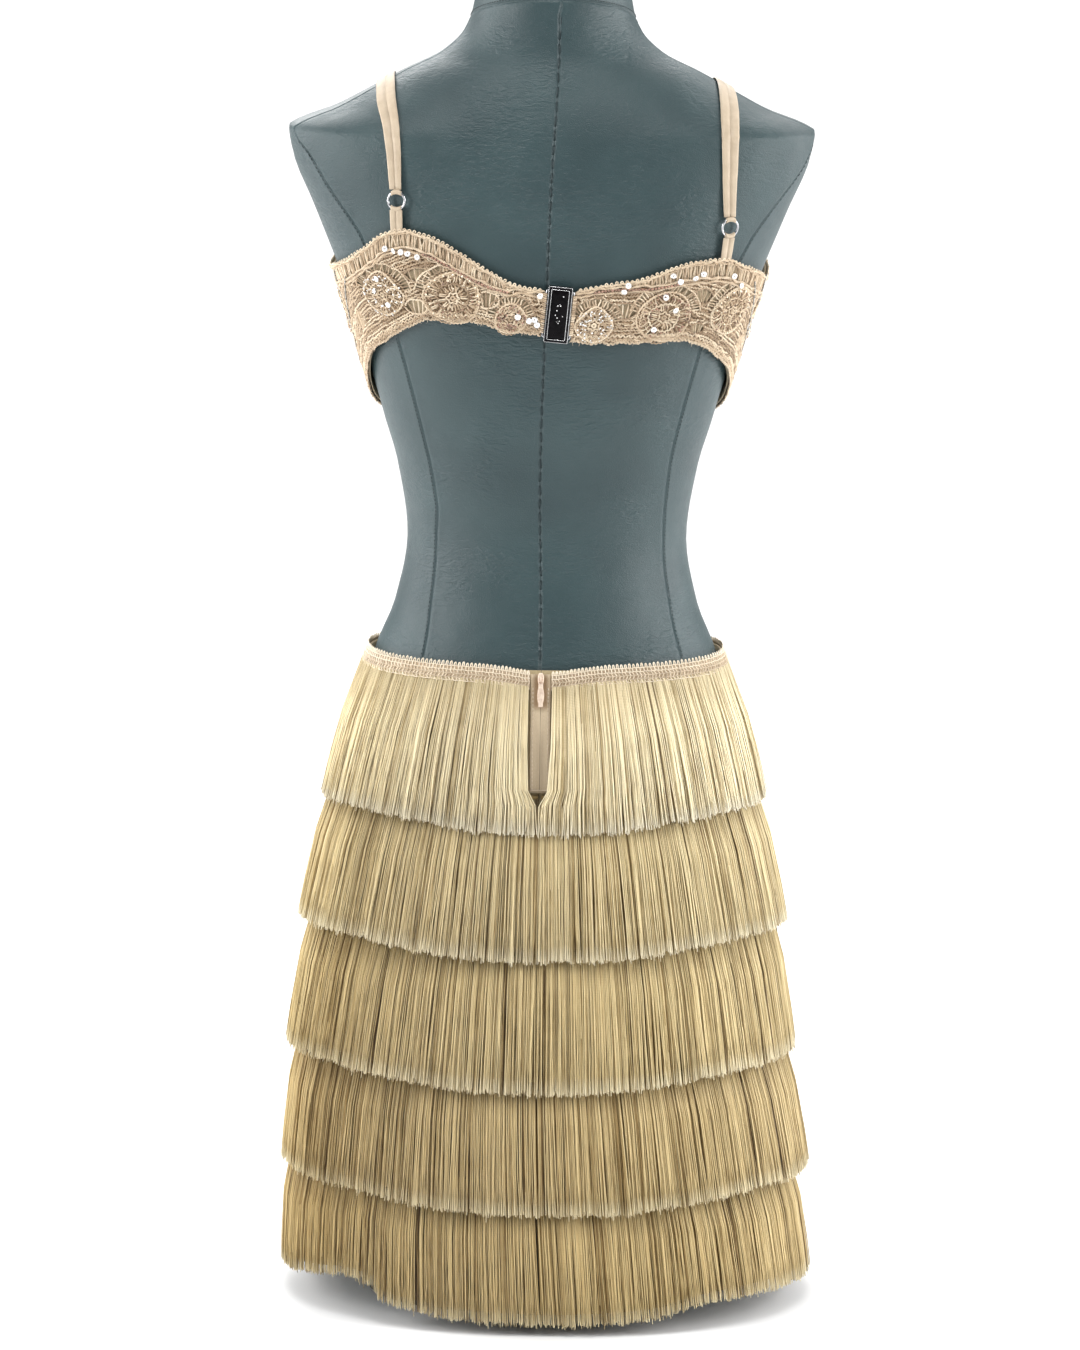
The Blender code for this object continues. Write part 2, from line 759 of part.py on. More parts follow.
def make_clasp():
    place = clasp_frame_matrix()
    frame = box_shape((CLASP_WIDTH, CLASP_DEPTH, CLASP_LENGTH))
    made = add_object("clasp_frame", mesh_from_bmesh("clasp_frame", frame), "polished_metal")
    bevelled(made, 0.8, 2)
    inner = (CLASP_WIDTH - 2 * CLASP_RIM, 2 * CLASP_RECESS, CLASP_LENGTH - 2 * CLASP_RIM)
    cutter = add_cutter("clasp_recess", box_shape(inner, (0, CLASP_DEPTH / 2, 0)))
    boolean(made, cutter, "DIFFERENCE")
    size = (inner[0] - 2 * SEAM, CLASP_RECESS, inner[2] - 2 * SEAM)
    seat = CLASP_DEPTH / 2 - CLASP_RECESS / 2 + SEAM
    panel = add_object("clasp_panel", mesh_from_bmesh("clasp_panel", box_shape(size, (0, seat, 0))), "dark_enamel")
    bevelled(panel, 0.4)
    for item in (made, cutter, panel):
        item.matrix_world = place
    for side, sign in (("left", 1), ("right", -1)):
        make_clasp_loop(side, sign, place)


def wire(name, points, radius, material_name):
    curve = bpy.data.curves.new(name, "CURVE")
    curve.dimensions = "3D"
    curve.bevel_depth = radius * MM
    curve.bevel_resolution = 1
    curve.use_fill_caps = True
    line = curve.splines.new("POLY")
    line.points.add(len(points) - 1)
    for point, place in zip(line.points, points):
        point.co = (*(Vector(place) * MM), 1.0)
    return add_object(name, curve, material_name)


def make_clasp_loop(side, sign, place):
    """The wire that the band's end is sewn round, open towards the clasp."""
    inner = CLASP_WIDTH / 2 + SEAM + 0.1
    outer = inner + CLASP_LOOP_REACH
    tall = CLASP_LENGTH / 2 - 3.5
    corner = 0.5
    points = (
        (sign * inner, 0, tall),
        (sign * (outer - corner), 0, tall),
        (sign * outer, 0, tall - corner),
        (sign * outer, 0, -tall + corner),
        (sign * (outer - corner), 0, -tall),
        (sign * inner, 0, -tall),
    )
    made = wire(f"clasp_loop_{side}", points, CLASP_WIRE, "polished_metal")
    made.matrix_world = place


# Skirt

def skirt_grid(low, high, columns, heights, offset):
    angles = [low + (high - low) * u / columns for u in range(columns + 1)]
    return [[cloth_point(angle, height, offset) for height in heights] for angle in angles]


def back_angle(x, height):
    return math.degrees(math.atan2(x, form_radius(0, height)))


def make_skirt():
    heights = [SKIRT_HEM + (WAIST_TOP - SKIRT_HEM) * v / SKIRT_ROWS for v in range(SKIRT_ROWS + 1)]
    centre = back_angle(ZIP_X, 450)
    near = seam_angle()
    panels = (
        ("skirt_front", 90 + near, 270 - near),
        ("skirt_back_left", centre + near, 90 - near),
        ("skirt_back_right", -90 + near, centre - near),
    )
    for name, low, high in panels:
        columns = round((high - low) / SKIRT_STEP)
        wall(name, skirt_grid(low, high, columns, heights, SKIRT_OFFSET), SKIRT_THICKNESS, "skirt_cloth")


def make_waistband():
    """The braid round the skirt's top edge, open at the zip."""
    centre = back_angle(ZIP_X, WAIST_TOP)
    gap = math.degrees(WAISTBAND_GAP / 2 / form_radius(0, WAIST_TOP))
    heights = (WAIST_TOP - WAISTBAND_HEIGHT, WAIST_TOP)
    grid = skirt_grid(centre + gap, centre + 360 - gap, 36, heights, BRAID_OFFSET)
    wall("waistband", grid, BRAID_THICKNESS, "skirt_cloth")


def make_zip_tape():
    """The tape where the first tier parts, narrow where it runs up between the waistband's ends."""
    shoulder = WAIST_TOP - WAISTBAND_HEIGHT - 2 * SEAM
    wide_top = shoulder - 1.0
    rows = [(ZIP_TAPE_BOTTOM + (wide_top - ZIP_TAPE_BOTTOM) * v / 7, ZIP_TAPE_WIDTH) for v in range(8)]
    rows += [(shoulder, ZIP_TAPE_NECK), (ZIP_TAPE_TOP, ZIP_TAPE_NECK)]
    grid = []
    for k in (-1, 0, 1):
        line = []
        for height, width in rows:
            angle = back_angle(ZIP_X + k * width / 2, height)
            line.append(cloth_point(angle, height, BRAID_OFFSET))
        grid.append(line)
    wall("zip_tape", grid, ZIP_TAPE_THICKNESS, "zip_tape")


def zip_matrix():
    """Where the bridge's centre sits, which is also the pull tab's hinge, with Y straight out of the cloth."""
    angle = back_angle(ZIP_X, SLIDER_HEIGHT)
    normal = form_normal(angle, SLIDER_HEIGHT)
    stand_off = BRAID_OFFSET + ZIP_TAPE_THICKNESS + 2 * SEAM + SLIDER_SIZE[1] + 1.0
    centre = cloth_point(angle, SLIDER_HEIGHT, stand_off)
    centre.x = ZIP_X
    return Matrix.Translation(centre * MM) @ Matrix.Rotation(math.atan2(normal.z, normal.y), 4, "X")


def bridge_points():
    """The bridge's route: up out of the slider, round the hinge axis and back down into it."""
    steps = 12
    turns = [math.pi * i / steps for i in range(steps + 1)]
    arc = [(0, BRIDGE_RADIUS * math.sin(t), -BRIDGE_RADIUS * math.cos(t)) for t in turns]
    foot = -1.6
    return [(0, foot, -BRIDGE_RADIUS)] + arc + [(0, foot, BRIDGE_RADIUS)]


def mesh_of_curve(curve_object):
    """A mesh object in place of a curve object, with its caps welded."""
    graph = bpy.context.evaluated_depsgraph_get()
    mesh = bpy.data.meshes.new_from_object(curve_object.evaluated_get(graph))
    shape = bmesh.new()
    shape.from_mesh(mesh)
    bmesh.ops.remove_doubles(shape, verts=shape.verts, dist=1e-6)
    bmesh.ops.recalc_face_normals(shape, faces=shape.faces)
    shape.to_mesh(mesh)
    shape.free()
    bpy.data.objects.remove(curve_object)
    return mesh


def make_slider(place):
    body = box_shape(SLIDER_SIZE, (0, -1.0 - SLIDER_SIZE[1] / 2, 0))
    made = add_object("zip_slider", mesh_from_bmesh("zip_slider", body), "zip_metal")
    bevelled(made, 0.5)
    bridge = mesh_of_curve(wire("bridge_route", bridge_points(), BRIDGE_WIRE, "zip_metal"))
    helper = bpy.data.objects.new("bridge", bridge)
    collection(CUTTERS).objects.link(helper)
    helper.hide_render = True
    helper.display_type = "WIRE"
    boolean(made, helper, "UNION")
    made.matrix_world = place
    helper.matrix_world = place


def pull_outline():
    """Teardrop, narrow at the eye and round at its lower end, as (x, z) below the hinge."""
    top = -BRIDGE_RADIUS + PULL_EYE + 0.45
    bottom = top - PULL_LENGTH
    steps = 9
    right = []
    for i in range(steps + 1):
        share = i / steps
        z = top + (bottom - top) * (1 - math.cos(math.pi * share)) / 2
        along = (top - z) / PULL_LENGTH
        width = PULL_WIDTH / 2 * (math.sin(math.pi * min(1.0, along) ** 1.35)) ** 0.62
        right.append((max(width, 1.75 * math.sin(math.pi * min(0.5, 4.5 * along))), z))
    right[0] = (1.0, top)
    right[-1] = (0.8, bottom)
    return right + [(-x, z) for x, z in reversed(right)]


def make_pull(place):
    shape = bmesh.new()
    half = PULL_THICKNESS / 2
    outline = [shape.verts.new(Vector((x, -half, z)) * MM) for x, z in pull_outline()]
    face = shape.faces.new(outline)
    grown = bmesh.ops.extrude_face_region(shape, geom=[face])
    moved = [item for item in grown["geom"] if isinstance(item, bmesh.types.BMVert)]
    bmesh.ops.translate(shape, vec=(0, PULL_THICKNESS * MM, 0), verts=moved)
    made = add_object("zip_pull", mesh_from_bmesh("zip_pull", shape), "zip_metal")
    eye = bmesh.new()
    bmesh.ops.create_cone(
        eye, cap_ends=True, segments=12, radius1=PULL_EYE * MM, radius2=PULL_EYE * MM, depth=4 * MM
    )
    turn = Matrix.Translation(Vector((0, 0, -BRIDGE_RADIUS)) * MM) @ Matrix.Rotation(math.pi / 2, 4, "X")
    bmesh.ops.transform(eye, matrix=turn, verts=eye.verts)
    cutter = add_cutter("pull_eye", eye)
    boolean(made, cutter, "DIFFERENCE")
    made.matrix_world = place
    cutter.matrix_world = place


# Fringe

def tier_root(angle, height, outer):
    offset = BRAID_OFFSET + (BRAID_THICKNESS if outer else 0)
    return cloth_point(angle, height, offset)


def lock_rings(tier, low, high, rng):
    """Middle and tip rings of a lock between two angles, each as four points like its root's."""
    strip_top, tip_height, half_width, half_depth, _ = tier
    bottom = strip_top - STRIP_HEIGHT
    lean = rng.uniform(-0.15, 0.15) * (high - low) * (1 - LOCK_SHARE)
    from_back = abs((low + 180) % 360 - 180)
    lift = read(TIP_LIFT, TIP_LIFT_COLUMNS, "lift", from_back)
    tip = tip_height + lift + rng.uniform(0, LOCK_TIP_SPREAD)
    rings = []
    for share in (0.45, 1.0):
        height = bottom + (tip - bottom) * share
        ring = []
        for angle, outer in ((low, True), (high, True), (high, False), (low, False)):
            root = tier_root(angle, bottom, True)
            reach = oval_radius(angle, half_width, half_depth, TIP_SQUARENESS)
            radius = math.hypot(root.x, root.y) * (1 - share) + reach * share
            radius += LOCK_BULGE * math.sin(math.pi * share) - (0 if outer else LOCK_THICKNESS)
            ring.append(round_point(angle + lean * share, radius, height))
        rings.append(ring)
    return rings


def tier_stations(tier):
    """Angles where each lock starts and ends, from one side of the slit round to the other."""
    strip_top, _, _, _, slit = tier
    centre = back_angle(ZIP_X, strip_top)
    half = math.degrees(slit / 2 / form_radius(0, strip_top))
    span = 360 - 2 * half
    pitch = span / (LOCKS_A_TIER - (1 - LOCK_SHARE))
    starts = [centre + half + pitch * i for i in range(LOCKS_A_TIER)]
    return [(start, start + pitch * LOCK_SHARE) for start in starts]


def strip_corners(shape, angle, top, bottom):
    """The four corners of the strip's section at an angle: outer top, outer bottom, inner bottom, inner top."""
    places = ((top, True), (bottom, True), (bottom, False), (top, False))
    return [shape.verts.new(tier_root(angle, height, outer) * MM) for height, outer in places]


def make_tier(number, tier, rng):
    shape = bmesh.new()
    top = tier[0]
    bottom = top - STRIP_HEIGHT
    before = None
    for low, high in tier_stations(tier):
        first = strip_corners(shape, low, top, bottom)
        second = strip_corners(shape, high, top, bottom)
        if before is None:
            shape.faces.new(first)
        else:
            join_sections(shape, before, first, with_bottom=True)
        join_sections(shape, first, second, with_bottom=False)
        root = [first[1], second[1], second[2], first[2]]
        for ring in lock_rings(tier, low, high, rng):
            loop = [shape.verts.new(point * MM) for point in ring]
            for i in range(4):
                j = (i + 1) % 4
                shape.faces.new((root[i], root[j], loop[j], loop[i]))
            root = loop
        shape.faces.new(root)
        before = second
    shape.faces.new(before[::-1])
    name = f"fringe_tier_{number}"
    add_object(name, mesh_from_bmesh(name, shape, smooth=False), "fringe_thread")


def join_sections(shape, first, second, with_bottom):
    """Faces between two sections of a strip. The bottom is left open where a lock hangs."""
    sides = (0, 1, 2, 3) if with_bottom else (0, 2, 3)
    for i in sides:
        j = (i + 1) % 4
        shape.faces.new((first[i], first[j], second[j], second[i]))


def clear_scene():
    for item in list(bpy.data.objects):
        bpy.data.objects.remove(item)


def main():
    clear_scene()
    make_form()
    make_neck_cap()
    make_back()
    make_front()
    make_midriff()
    make_strap("left", 1, LEFT_STRAP, LEFT_RING[1])
    make_strap("right", -1, RIGHT_STRAP, RIGHT_RING[1])
    make_ring("left", LEFT_RING)
    make_ring("right", RIGHT_RING)
    make_tab("left", LEFT_RING, BACK_LEFT_EDGES)
    make_tab("right", RIGHT_RING, BACK_RIGHT_EDGES)
    make_clasp()
    make_skirt()
    make_waistband()
    make_zip_tape()
    place = zip_matrix()
    make_slider(place)
    make_pull(place)
    rng = random.Random(SEED)
    for number, tier in enumerate(FRINGE_TIERS, start=1):
        make_tier(number, tier, rng)


main()
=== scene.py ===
"""Looks of the crochet mini dress on its dress form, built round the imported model.

Lengths are in millimetres until a mesh is made. A place on the body is an angle from the centre back
(90 is the wearer's left side, 180 the centre front, -90 the right side) and a height.
"""

import math
from collections import namedtuple

import bmesh
import bpy
import numpy as np
from mathutils import Matrix, Vector


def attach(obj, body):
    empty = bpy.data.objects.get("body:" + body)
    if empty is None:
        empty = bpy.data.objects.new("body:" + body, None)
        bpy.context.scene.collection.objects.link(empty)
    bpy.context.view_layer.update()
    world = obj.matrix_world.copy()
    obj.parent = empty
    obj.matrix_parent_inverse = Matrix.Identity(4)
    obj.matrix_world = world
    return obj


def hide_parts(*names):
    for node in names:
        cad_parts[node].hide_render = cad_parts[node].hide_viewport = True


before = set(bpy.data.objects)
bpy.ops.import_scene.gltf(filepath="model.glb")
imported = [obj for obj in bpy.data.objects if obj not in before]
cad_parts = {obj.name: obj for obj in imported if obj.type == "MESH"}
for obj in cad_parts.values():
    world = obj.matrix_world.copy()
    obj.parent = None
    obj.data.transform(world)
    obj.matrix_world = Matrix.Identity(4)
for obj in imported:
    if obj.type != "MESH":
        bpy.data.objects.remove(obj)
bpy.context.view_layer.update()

MM = 0.001
BODY = "dress"
PULL_BODY = "pull_tab"
SEAM = 0.3


# Tables

class Table:
    """Rows with named columns, read on smooth curves against the first column."""

    def __init__(self, columns, *rows):
        self.columns = columns
        self.rows = np.array(rows, float)
        self.slopes = {}

    def slopes_of(self, index):
        """Slopes that keep the curve from overshooting its rows."""
        if index not in self.slopes:
            xs, ys = self.rows[:, 0], self.rows[:, index]
            steps = np.diff(xs)
            rises = np.diff(ys) / steps
            found = np.zeros(len(xs))
            found[0], found[-1] = rises[0], rises[-1]
            for i in range(1, len(xs) - 1):
                if rises[i - 1] * rises[i] > 0:
                    before = 2 * steps[i] + steps[i - 1]
                    after = steps[i] + 2 * steps[i - 1]
                    found[i] = (before + after) / (before / rises[i - 1] + after / rises[i])
            self.slopes[index] = found
        return self.slopes[index]

    def read(self, name, at):
        index = self.columns.index(name)
        xs, ys, rises = self.rows[:, 0], self.rows[:, index], self.slopes_of(index)
        at = np.clip(at, xs[0], xs[-1])
        i = np.clip(np.searchsorted(xs, at, side="right") - 1, 0, len(xs) - 2)
        step = xs[i + 1] - xs[i]
        s = (at - xs[i]) / step
        start = (1 + 2 * s) * (1 - s) ** 2 * ys[i] + s * (1 - s) ** 2 * step * rises[i]
        return start + s * s * (3 - 2 * s) * ys[i + 1] + s * s * (s - 1) * step * rises[i + 1]


# Sizes, most of them shared with the solids

FORM = Table(
    ("height", "half_width", "back", "front", "squareness"),
    (0, 132, 96, 96, 2.2),
    (32, 153, 115, 115, 2.2),
    (68, 173, 134, 134, 2.2),
    (108, 184, 144, 144, 2.2),
    (188, 179, 139, 139, 2.2),
    (289, 169, 129, 129, 2.2),
    (383, 157, 117, 117, 2.2),
    (440, 146, 107, 106, 2.2),
    (503, 131, 94, 92, 2.2),
    (541, 116, 84, 86, 2.15),
    (592, 107, 77, 80, 2.1),
    (648, 115, 83, 83, 2.15),
    (683, 125, 89, 88, 2.2),
    (709, 131, 93, 92, 2.3),
    (760, 146, 99, 94, 2.4),
    (801, 162, 102, 90, 2.5),
    (847, 181, 100.6, 80, 2.5),
    (886, 197, 95.2, 68, 2.46),
    (905, 200, 90.6, 61, 2.41),
    (911, 190, 88.7, 58, 2.37),
    (920, 166, 85.4, 54, 2.31),
    (932, 143, 80.2, 50, 2.2),
    (949, 112, 71.6, 46, 2.1),
    (963, 84, 65, 45, 2.0),
    (980, 67, 60, 46, 2.0),
    (1000, 60, 55, 49, 2.0),
    (1030, 56, 51, 53, 2.0),
    (1052, 55, 50, 54, 2.0),
)
SHOULDER_EDGE_HEIGHT = 905
NECK_BASE_HEIGHT = 1000
NECK_TOP = 1052
NECK_CAP_TOP = 1062
NECK_CAP_INSET = 2
BUST_HEIGHT = 728
BUST_SWELL = 0.34
BUST_ANGLE = 38
BUST_SPREAD = 31
BUST_REACH_DOWN = 34
BUST_REACH_UP = 55

LINING_OFFSET = 2.6
LINING_THICKNESS = 1.0
LACE_OFFSET = 4.3
GROUND_THICKNESS = 1.1
SKIRT_OFFSET = 3.0
SKIRT_THICKNESS = 1.5
BRAID_OFFSET = 5.5
BRAID_THICKNESS = 1.7

EDGE_COLUMNS = ("angle", "bottom", "top")
BACK_LEFT_EDGES = Table(
    EDGE_COLUMNS,
    (2.95, 760, 793),
    (15, 762, 797),
    (28, 768, 810),
    (37, 770, 822),
    (45, 770, 832),
    (51, 765, 836),
    (56, 759, 833),
    (63, 750, 820),
    (72, 738, 808),
    (82, 719, 802),
    (90, 706, 800),
)
BACK_RIGHT_EDGES = Table(
    EDGE_COLUMNS,
    (-90, 706, 795),
    (-82, 718, 797),
    (-74, 730, 803),
    (-66, 740, 810),
    (-59, 749, 816),
    (-50, 755, 814),
    (-42, 755, 808),
    (-35, 754, 802),
    (-23, 754, 798),
    (-9.85, 755, 793),
)
FRONT_ROWS = (
    (97, 696, 801),
    (106, 687, 808),
    (116, 683, 826),
    (124, 681, 846),
    (132, 680, 838),
    (144, 680, 814),
    (158, 684, 792),
    (170, 691, 777),
    (180, 694, 772),
)
FRONT_LEFT_EDGES = Table(EDGE_COLUMNS, (90, 706, 800), *FRONT_ROWS)
FRONT_RIGHT_EDGES = Table(EDGE_COLUMNS, (90, 706, 795), *FRONT_ROWS)
FRONT_GAP_ANGLE = 0.55  # half of the seam down the centre front
MIDRIFF_TOP_SEAM = 1.5
MIDRIFF_WIDTHS = Table(("height", "half_angle"), (503.5, 30), (545, 25), (592, 22), (640, 24), (696, 28))

# How deep the row of ladder bars is under each top edge.
LADDER_COLUMNS = ("angle", "depth")
BACK_LEFT_LADDER = Table(
    LADDER_COLUMNS, (2.95, 0), (12, 0.6), (20, 5), (28, 9), (37, 11), (60, 11.5), (76, 11), (90, 9)
)
BACK_RIGHT_LADDER = Table(
    LADDER_COLUMNS, (-90, 9), (-76, 11), (-60, 11.5), (-48, 10.5), (-41, 8), (-34, 3.5), (-24, 1), (-9.85, 0)
)
FRONT_LADDER = Table(LADDER_COLUMNS, (90, 9), (104, 11), (124, 11.5), (150, 10), (180, 8))

# Rosettes as angle, height and radius, and the open gaps as angle, height, width and height.
BACK_LEFT_ROSETTES = ((59, 787, 16.5), (37, 787, 19), (16, 772, 11), (89, 765, 17))
BACK_RIGHT_ROSETTES = ((-18.6, 768, 13.5), (-43, 774, 18.5), (-66, 776, 18), (-89, 766, 17))
FRONT_ROSETTES = ((92, 765, 18), (113, 745, 20), (124, 806, 16), (141, 735, 24), (163, 735, 16), (150, 785, 13))
MIDRIFF_ROSETTES = ((180, 665, 17), (180, 622, 15), (180, 580, 15), (180, 536, 17))
BACK_LEFT_GAPS = (
    (47.7, 803, 17, 11),
    (49, 779, 15, 12),
    (25, 786, 15, 12),
    (72.5, 764, 9, 14),
    (73, 790, 9, 9),
)
BACK_RIGHT_GAPS = (
    (-29.6, 779, 17, 12),
    (-54.5, 789, 15, 11),
    (-55, 764, 11, 8),
    (-78, 787, 10, 9),
    (-78, 748, 9, 10),
)
FRONT_GAPS = (
    (103, 780, 13, 12),
    (103, 712, 12, 11),
    (120, 778, 14, 11),
    (127, 762, 12, 10),
    (127, 705, 13, 11),
    (138, 783, 12, 10),
    (153, 758, 11, 10),
    (153, 707, 12, 11),
    (172, 757, 11, 10),
    (172, 708, 10, 10),
)
MIDRIFF_GAPS = (
    (169, 645, 11, 10),
    (191, 645, 11, 10),
    (170, 601, 10, 10),
    (190, 601, 10, 10),
    (169, 557, 11, 10),
    (191, 557, 11, 10),
)

STRAP_COLUMNS = ("fraction", "centre_x", "width")
LEFT_STRAP = Table(
    STRAP_COLUMNS,
    (0, 116, 8.5),
    (0.16, 120, 12),
    (0.32, 125, 14),
    (0.5, 126, 14),
    (0.75, 118, 13),
    (1, 106, 11),
)
RIGHT_STRAP = Table(
    STRAP_COLUMNS,
    (0, 133, 8.5),
    (0.16, 134, 12),
    (0.32, 133.5, 14),
    (0.5, 131, 14),
    (0.75, 120, 13),
    (1, 107, 11),
)
STRAP_OFFSET = 1.0
STRAP_THICKNESS = 1.3
STRAP_RISE_SHARE = 0.1
STRAP_FRONT_HEIGHT = 847
RING_RADIUS = 6.6
RING_WIRE = 0.9
RING_STAND_OFF = 3.8
LEFT_RING = (115.0, 858.0)
RIGHT_RING = (-133.0, 840.0)
TAB_WIDTH = 8.0
TAB_THICKNESS = 1.5

CLASP_CENTRE_X = -6.3
CLASP_HEIGHT = 776
CLASP_WIDTH = 18.0
CLASP_LENGTH = 43.0
CLASP_DEPTH = 4.6
CLASP_RIM = 2.6
CLASP_RECESS = 1.6
CLASP_LEAN = math.radians(-5.2)
CLASP_STAND_OFF = 5.5
CLASP_WIRE = 0.8
LEAN_FADE_ANGLE = 55

WAIST_TOP = 503
WAISTBAND_HEIGHT = 11
WAISTBAND_GAP = 15.2
SKIRT_HEM = 107
ZIP_X = 3.3
ZIP_TAPE_WIDTH = 15.0
ZIP_TAPE_NECK = 14.6
ZIP_TAPE_TOP = 499
WAIST_DIP = 5.0  # of the waistband beside the zip
WAIST_DIP_SPREAD = 17.0
ZIP_TAPE_BOTTOM = 411
ZIP_TAPE_THICKNESS = 1.0
SLIDER_HEIGHT = 495.0
SLIDER_SIZE = (5.4, 2.0, 10.0)
BRIDGE_RADIUS = 2.3
BRIDGE_WIRE = 0.42
PULL_WIDTH = 5.2
PULL_LENGTH = 20.0
PULL_THICKNESS = 0.9
PULL_EYE = 0.95

Tier = namedtuple("Tier", ("strip_top", "tip_height", "half_width", "half_depth", "slit"))
FRINGE_TIERS = (
    Tier(491.6, 383, 171, 131, 17),
    Tier(409, 288, 188, 148, 2.5),
    Tier(315, 188, 197, 158, 2.5),
    Tier(214, 95, 204, 165, 2.5),
    Tier(118, 10, 205, 165, 2.5),
)
TIP_LIFT = Table(("from_back", "lift"), (0, -3), (22, -1), (45, 5), (62, 8), (90, 7), (135, 3), (180, 0))
STRIP_HEIGHT = 7.5
LOCK_BULGE = 4.0
TIP_SQUARENESS = 2.2

# Seams of the form, and the place of the collar seam round the neck.
SEAM_LINES = Table(
    ("height", "centre_back", "back_left", "back_right"),
    (0, 2.0, 54, -58),
    (507, 2.5, 53.5, -59.5),
    (545, 2.8, 57, -61.5),
    (594, 3.6, 59.3, -62.8),
    (625, 4.0, 57, -61),
    (680, 3.5, 57.3, -58.5),
    (745, 2.2, 59, -59.8),
    (823, 0.9, 63.3, -66.8),
    (859, 0.2, 70.2, -74.5),
    (887, -0.5, 75.5, -82.5),
    (905, -1.2, 82, -87),
    (978, -5.0, 84, -88),
    (1006, -6.7, 84, -88),
    (1052, -7.0, 84, -88),
)
COLLAR_HEIGHT = 1007


# The form's surface

def bust_swell(angle, height):
    from_front = 180 - np.abs((angle + 180) % 360 - 180)
    reach = np.where(height < BUST_HEIGHT, BUST_REACH_DOWN, BUST_REACH_UP)
    level = np.exp(-(((height - BUST_HEIGHT) / reach) ** 2))
    near = np.exp(-(((from_front - BUST_ANGLE) / BUST_SPREAD) ** 2))
    far = np.exp(-(((from_front + BUST_ANGLE) / BUST_SPREAD) ** 2))
    return 1 + BUST_SWELL * level * (near + far)


def oval_radius(angle, half_width, depth, squareness):
    sideways = np.abs(np.sin(np.radians(angle))) / half_width
    endways = np.abs(np.cos(np.radians(angle))) / depth
    return (sideways ** squareness + endways ** squareness) ** (-1 / squareness)


def form_radius(angle, height):
    angle, height = np.asarray(angle, float), np.asarray(height, float)
    behind = np.cos(np.radians(angle)) > 0
    depth = np.where(behind, FORM.read("back", height), FORM.read("front", height))
    half_width = FORM.read("half_width", height)
    squareness = FORM.read("squareness", height)
    return oval_radius(angle, half_width, depth, squareness) * bust_swell(angle, height)


def round_point(angle, radius, height):
    turn = np.radians(angle)
    return np.stack(np.broadcast_arrays(radius * np.sin(turn), radius * np.cos(turn), height), -1)


def form_point(angle, height):
    return round_point(angle, form_radius(angle, height), height)


def unit(vectors):
    return vectors / np.maximum(np.linalg.norm(vectors, axis=-1, keepdims=True), 1e-9)


def form_normal(angle, height):
    angle, height = np.asarray(angle, float), np.asarray(height, float)
    along = form_point(angle + 0.5, height) - form_point(angle - 0.5, height)
    up = form_point(angle, height + 1) - form_point(angle, height - 1)
    return unit(np.cross(up, along))


def cloth_point(angle, height, offset):
    return form_point(angle, height) + form_normal(angle, height) * np.asarray(offset)[..., None]


def back_angle(x, height):
    return np.degrees(np.arctan2(x, form_radius(0, height)))


def clasp_lean(angle, height):
    """How far an angle shifts so that the band's end runs along the leaning clasp."""
    fade = np.maximum(0.0, 1 - np.abs(angle) / LEAN_FADE_ANGLE)
    slide = math.tan(CLASP_LEAN) * (height - CLASP_HEIGHT)
    return fade * np.degrees(slide / form_radius(0, CLASP_HEIGHT))


# Meshes

class Shape:
    """Points and faces of one mesh, with the values that its material reads at each point."""

    FIELDS = ("shade", "along", "length")

    def __init__(self):
        self.points = []
        self.faces = {}
        self.values = {name: [] for name in self.FIELDS}
        self.count = 0

    def add(self, points, faces, **values):
        size = points.shape[:-1]
        flat = points.reshape(-1, 3)
        for group in faces:
            self.faces.setdefault(group.shape[-1], []).append(group.reshape(-1, group.shape[-1]) + self.count)
        for name in self.FIELDS:
            value = np.broadcast_to(np.asarray(values.get(name, 0.0), float), size)
            self.values[name].append(value.reshape(-1))
        self.points.append(flat)
        self.count += len(flat)

    def mesh(self, name):
        points = np.concatenate(self.points) * MM
        groups = [np.concatenate(found) for _, found in sorted(self.faces.items())]
        corners = np.concatenate([group.ravel() for group in groups])
        sizes = np.concatenate([np.full(len(group), group.shape[1]) for group in groups])
        starts = np.concatenate([[0], np.cumsum(sizes)[:-1]])
        mesh = bpy.data.meshes.new(name)
        mesh.vertices.add(len(points))
        mesh.vertices.foreach_set("co", points.astype(np.float32).ravel())
        mesh.loops.add(len(corners))
        mesh.loops.foreach_set("vertex_index", corners.astype(np.int32))
        mesh.polygons.add(len(sizes))
        mesh.polygons.foreach_set("loop_start", starts.astype(np.int32))
        mesh.update(calc_edges=True)
        mesh.validate()
        mesh.shade_smooth()
        for field, parts in self.values.items():
            stored = mesh.attributes.new(field, "FLOAT", "POINT")
            stored.data.foreach_set("value", np.concatenate(parts).astype(np.float32))
        return mesh


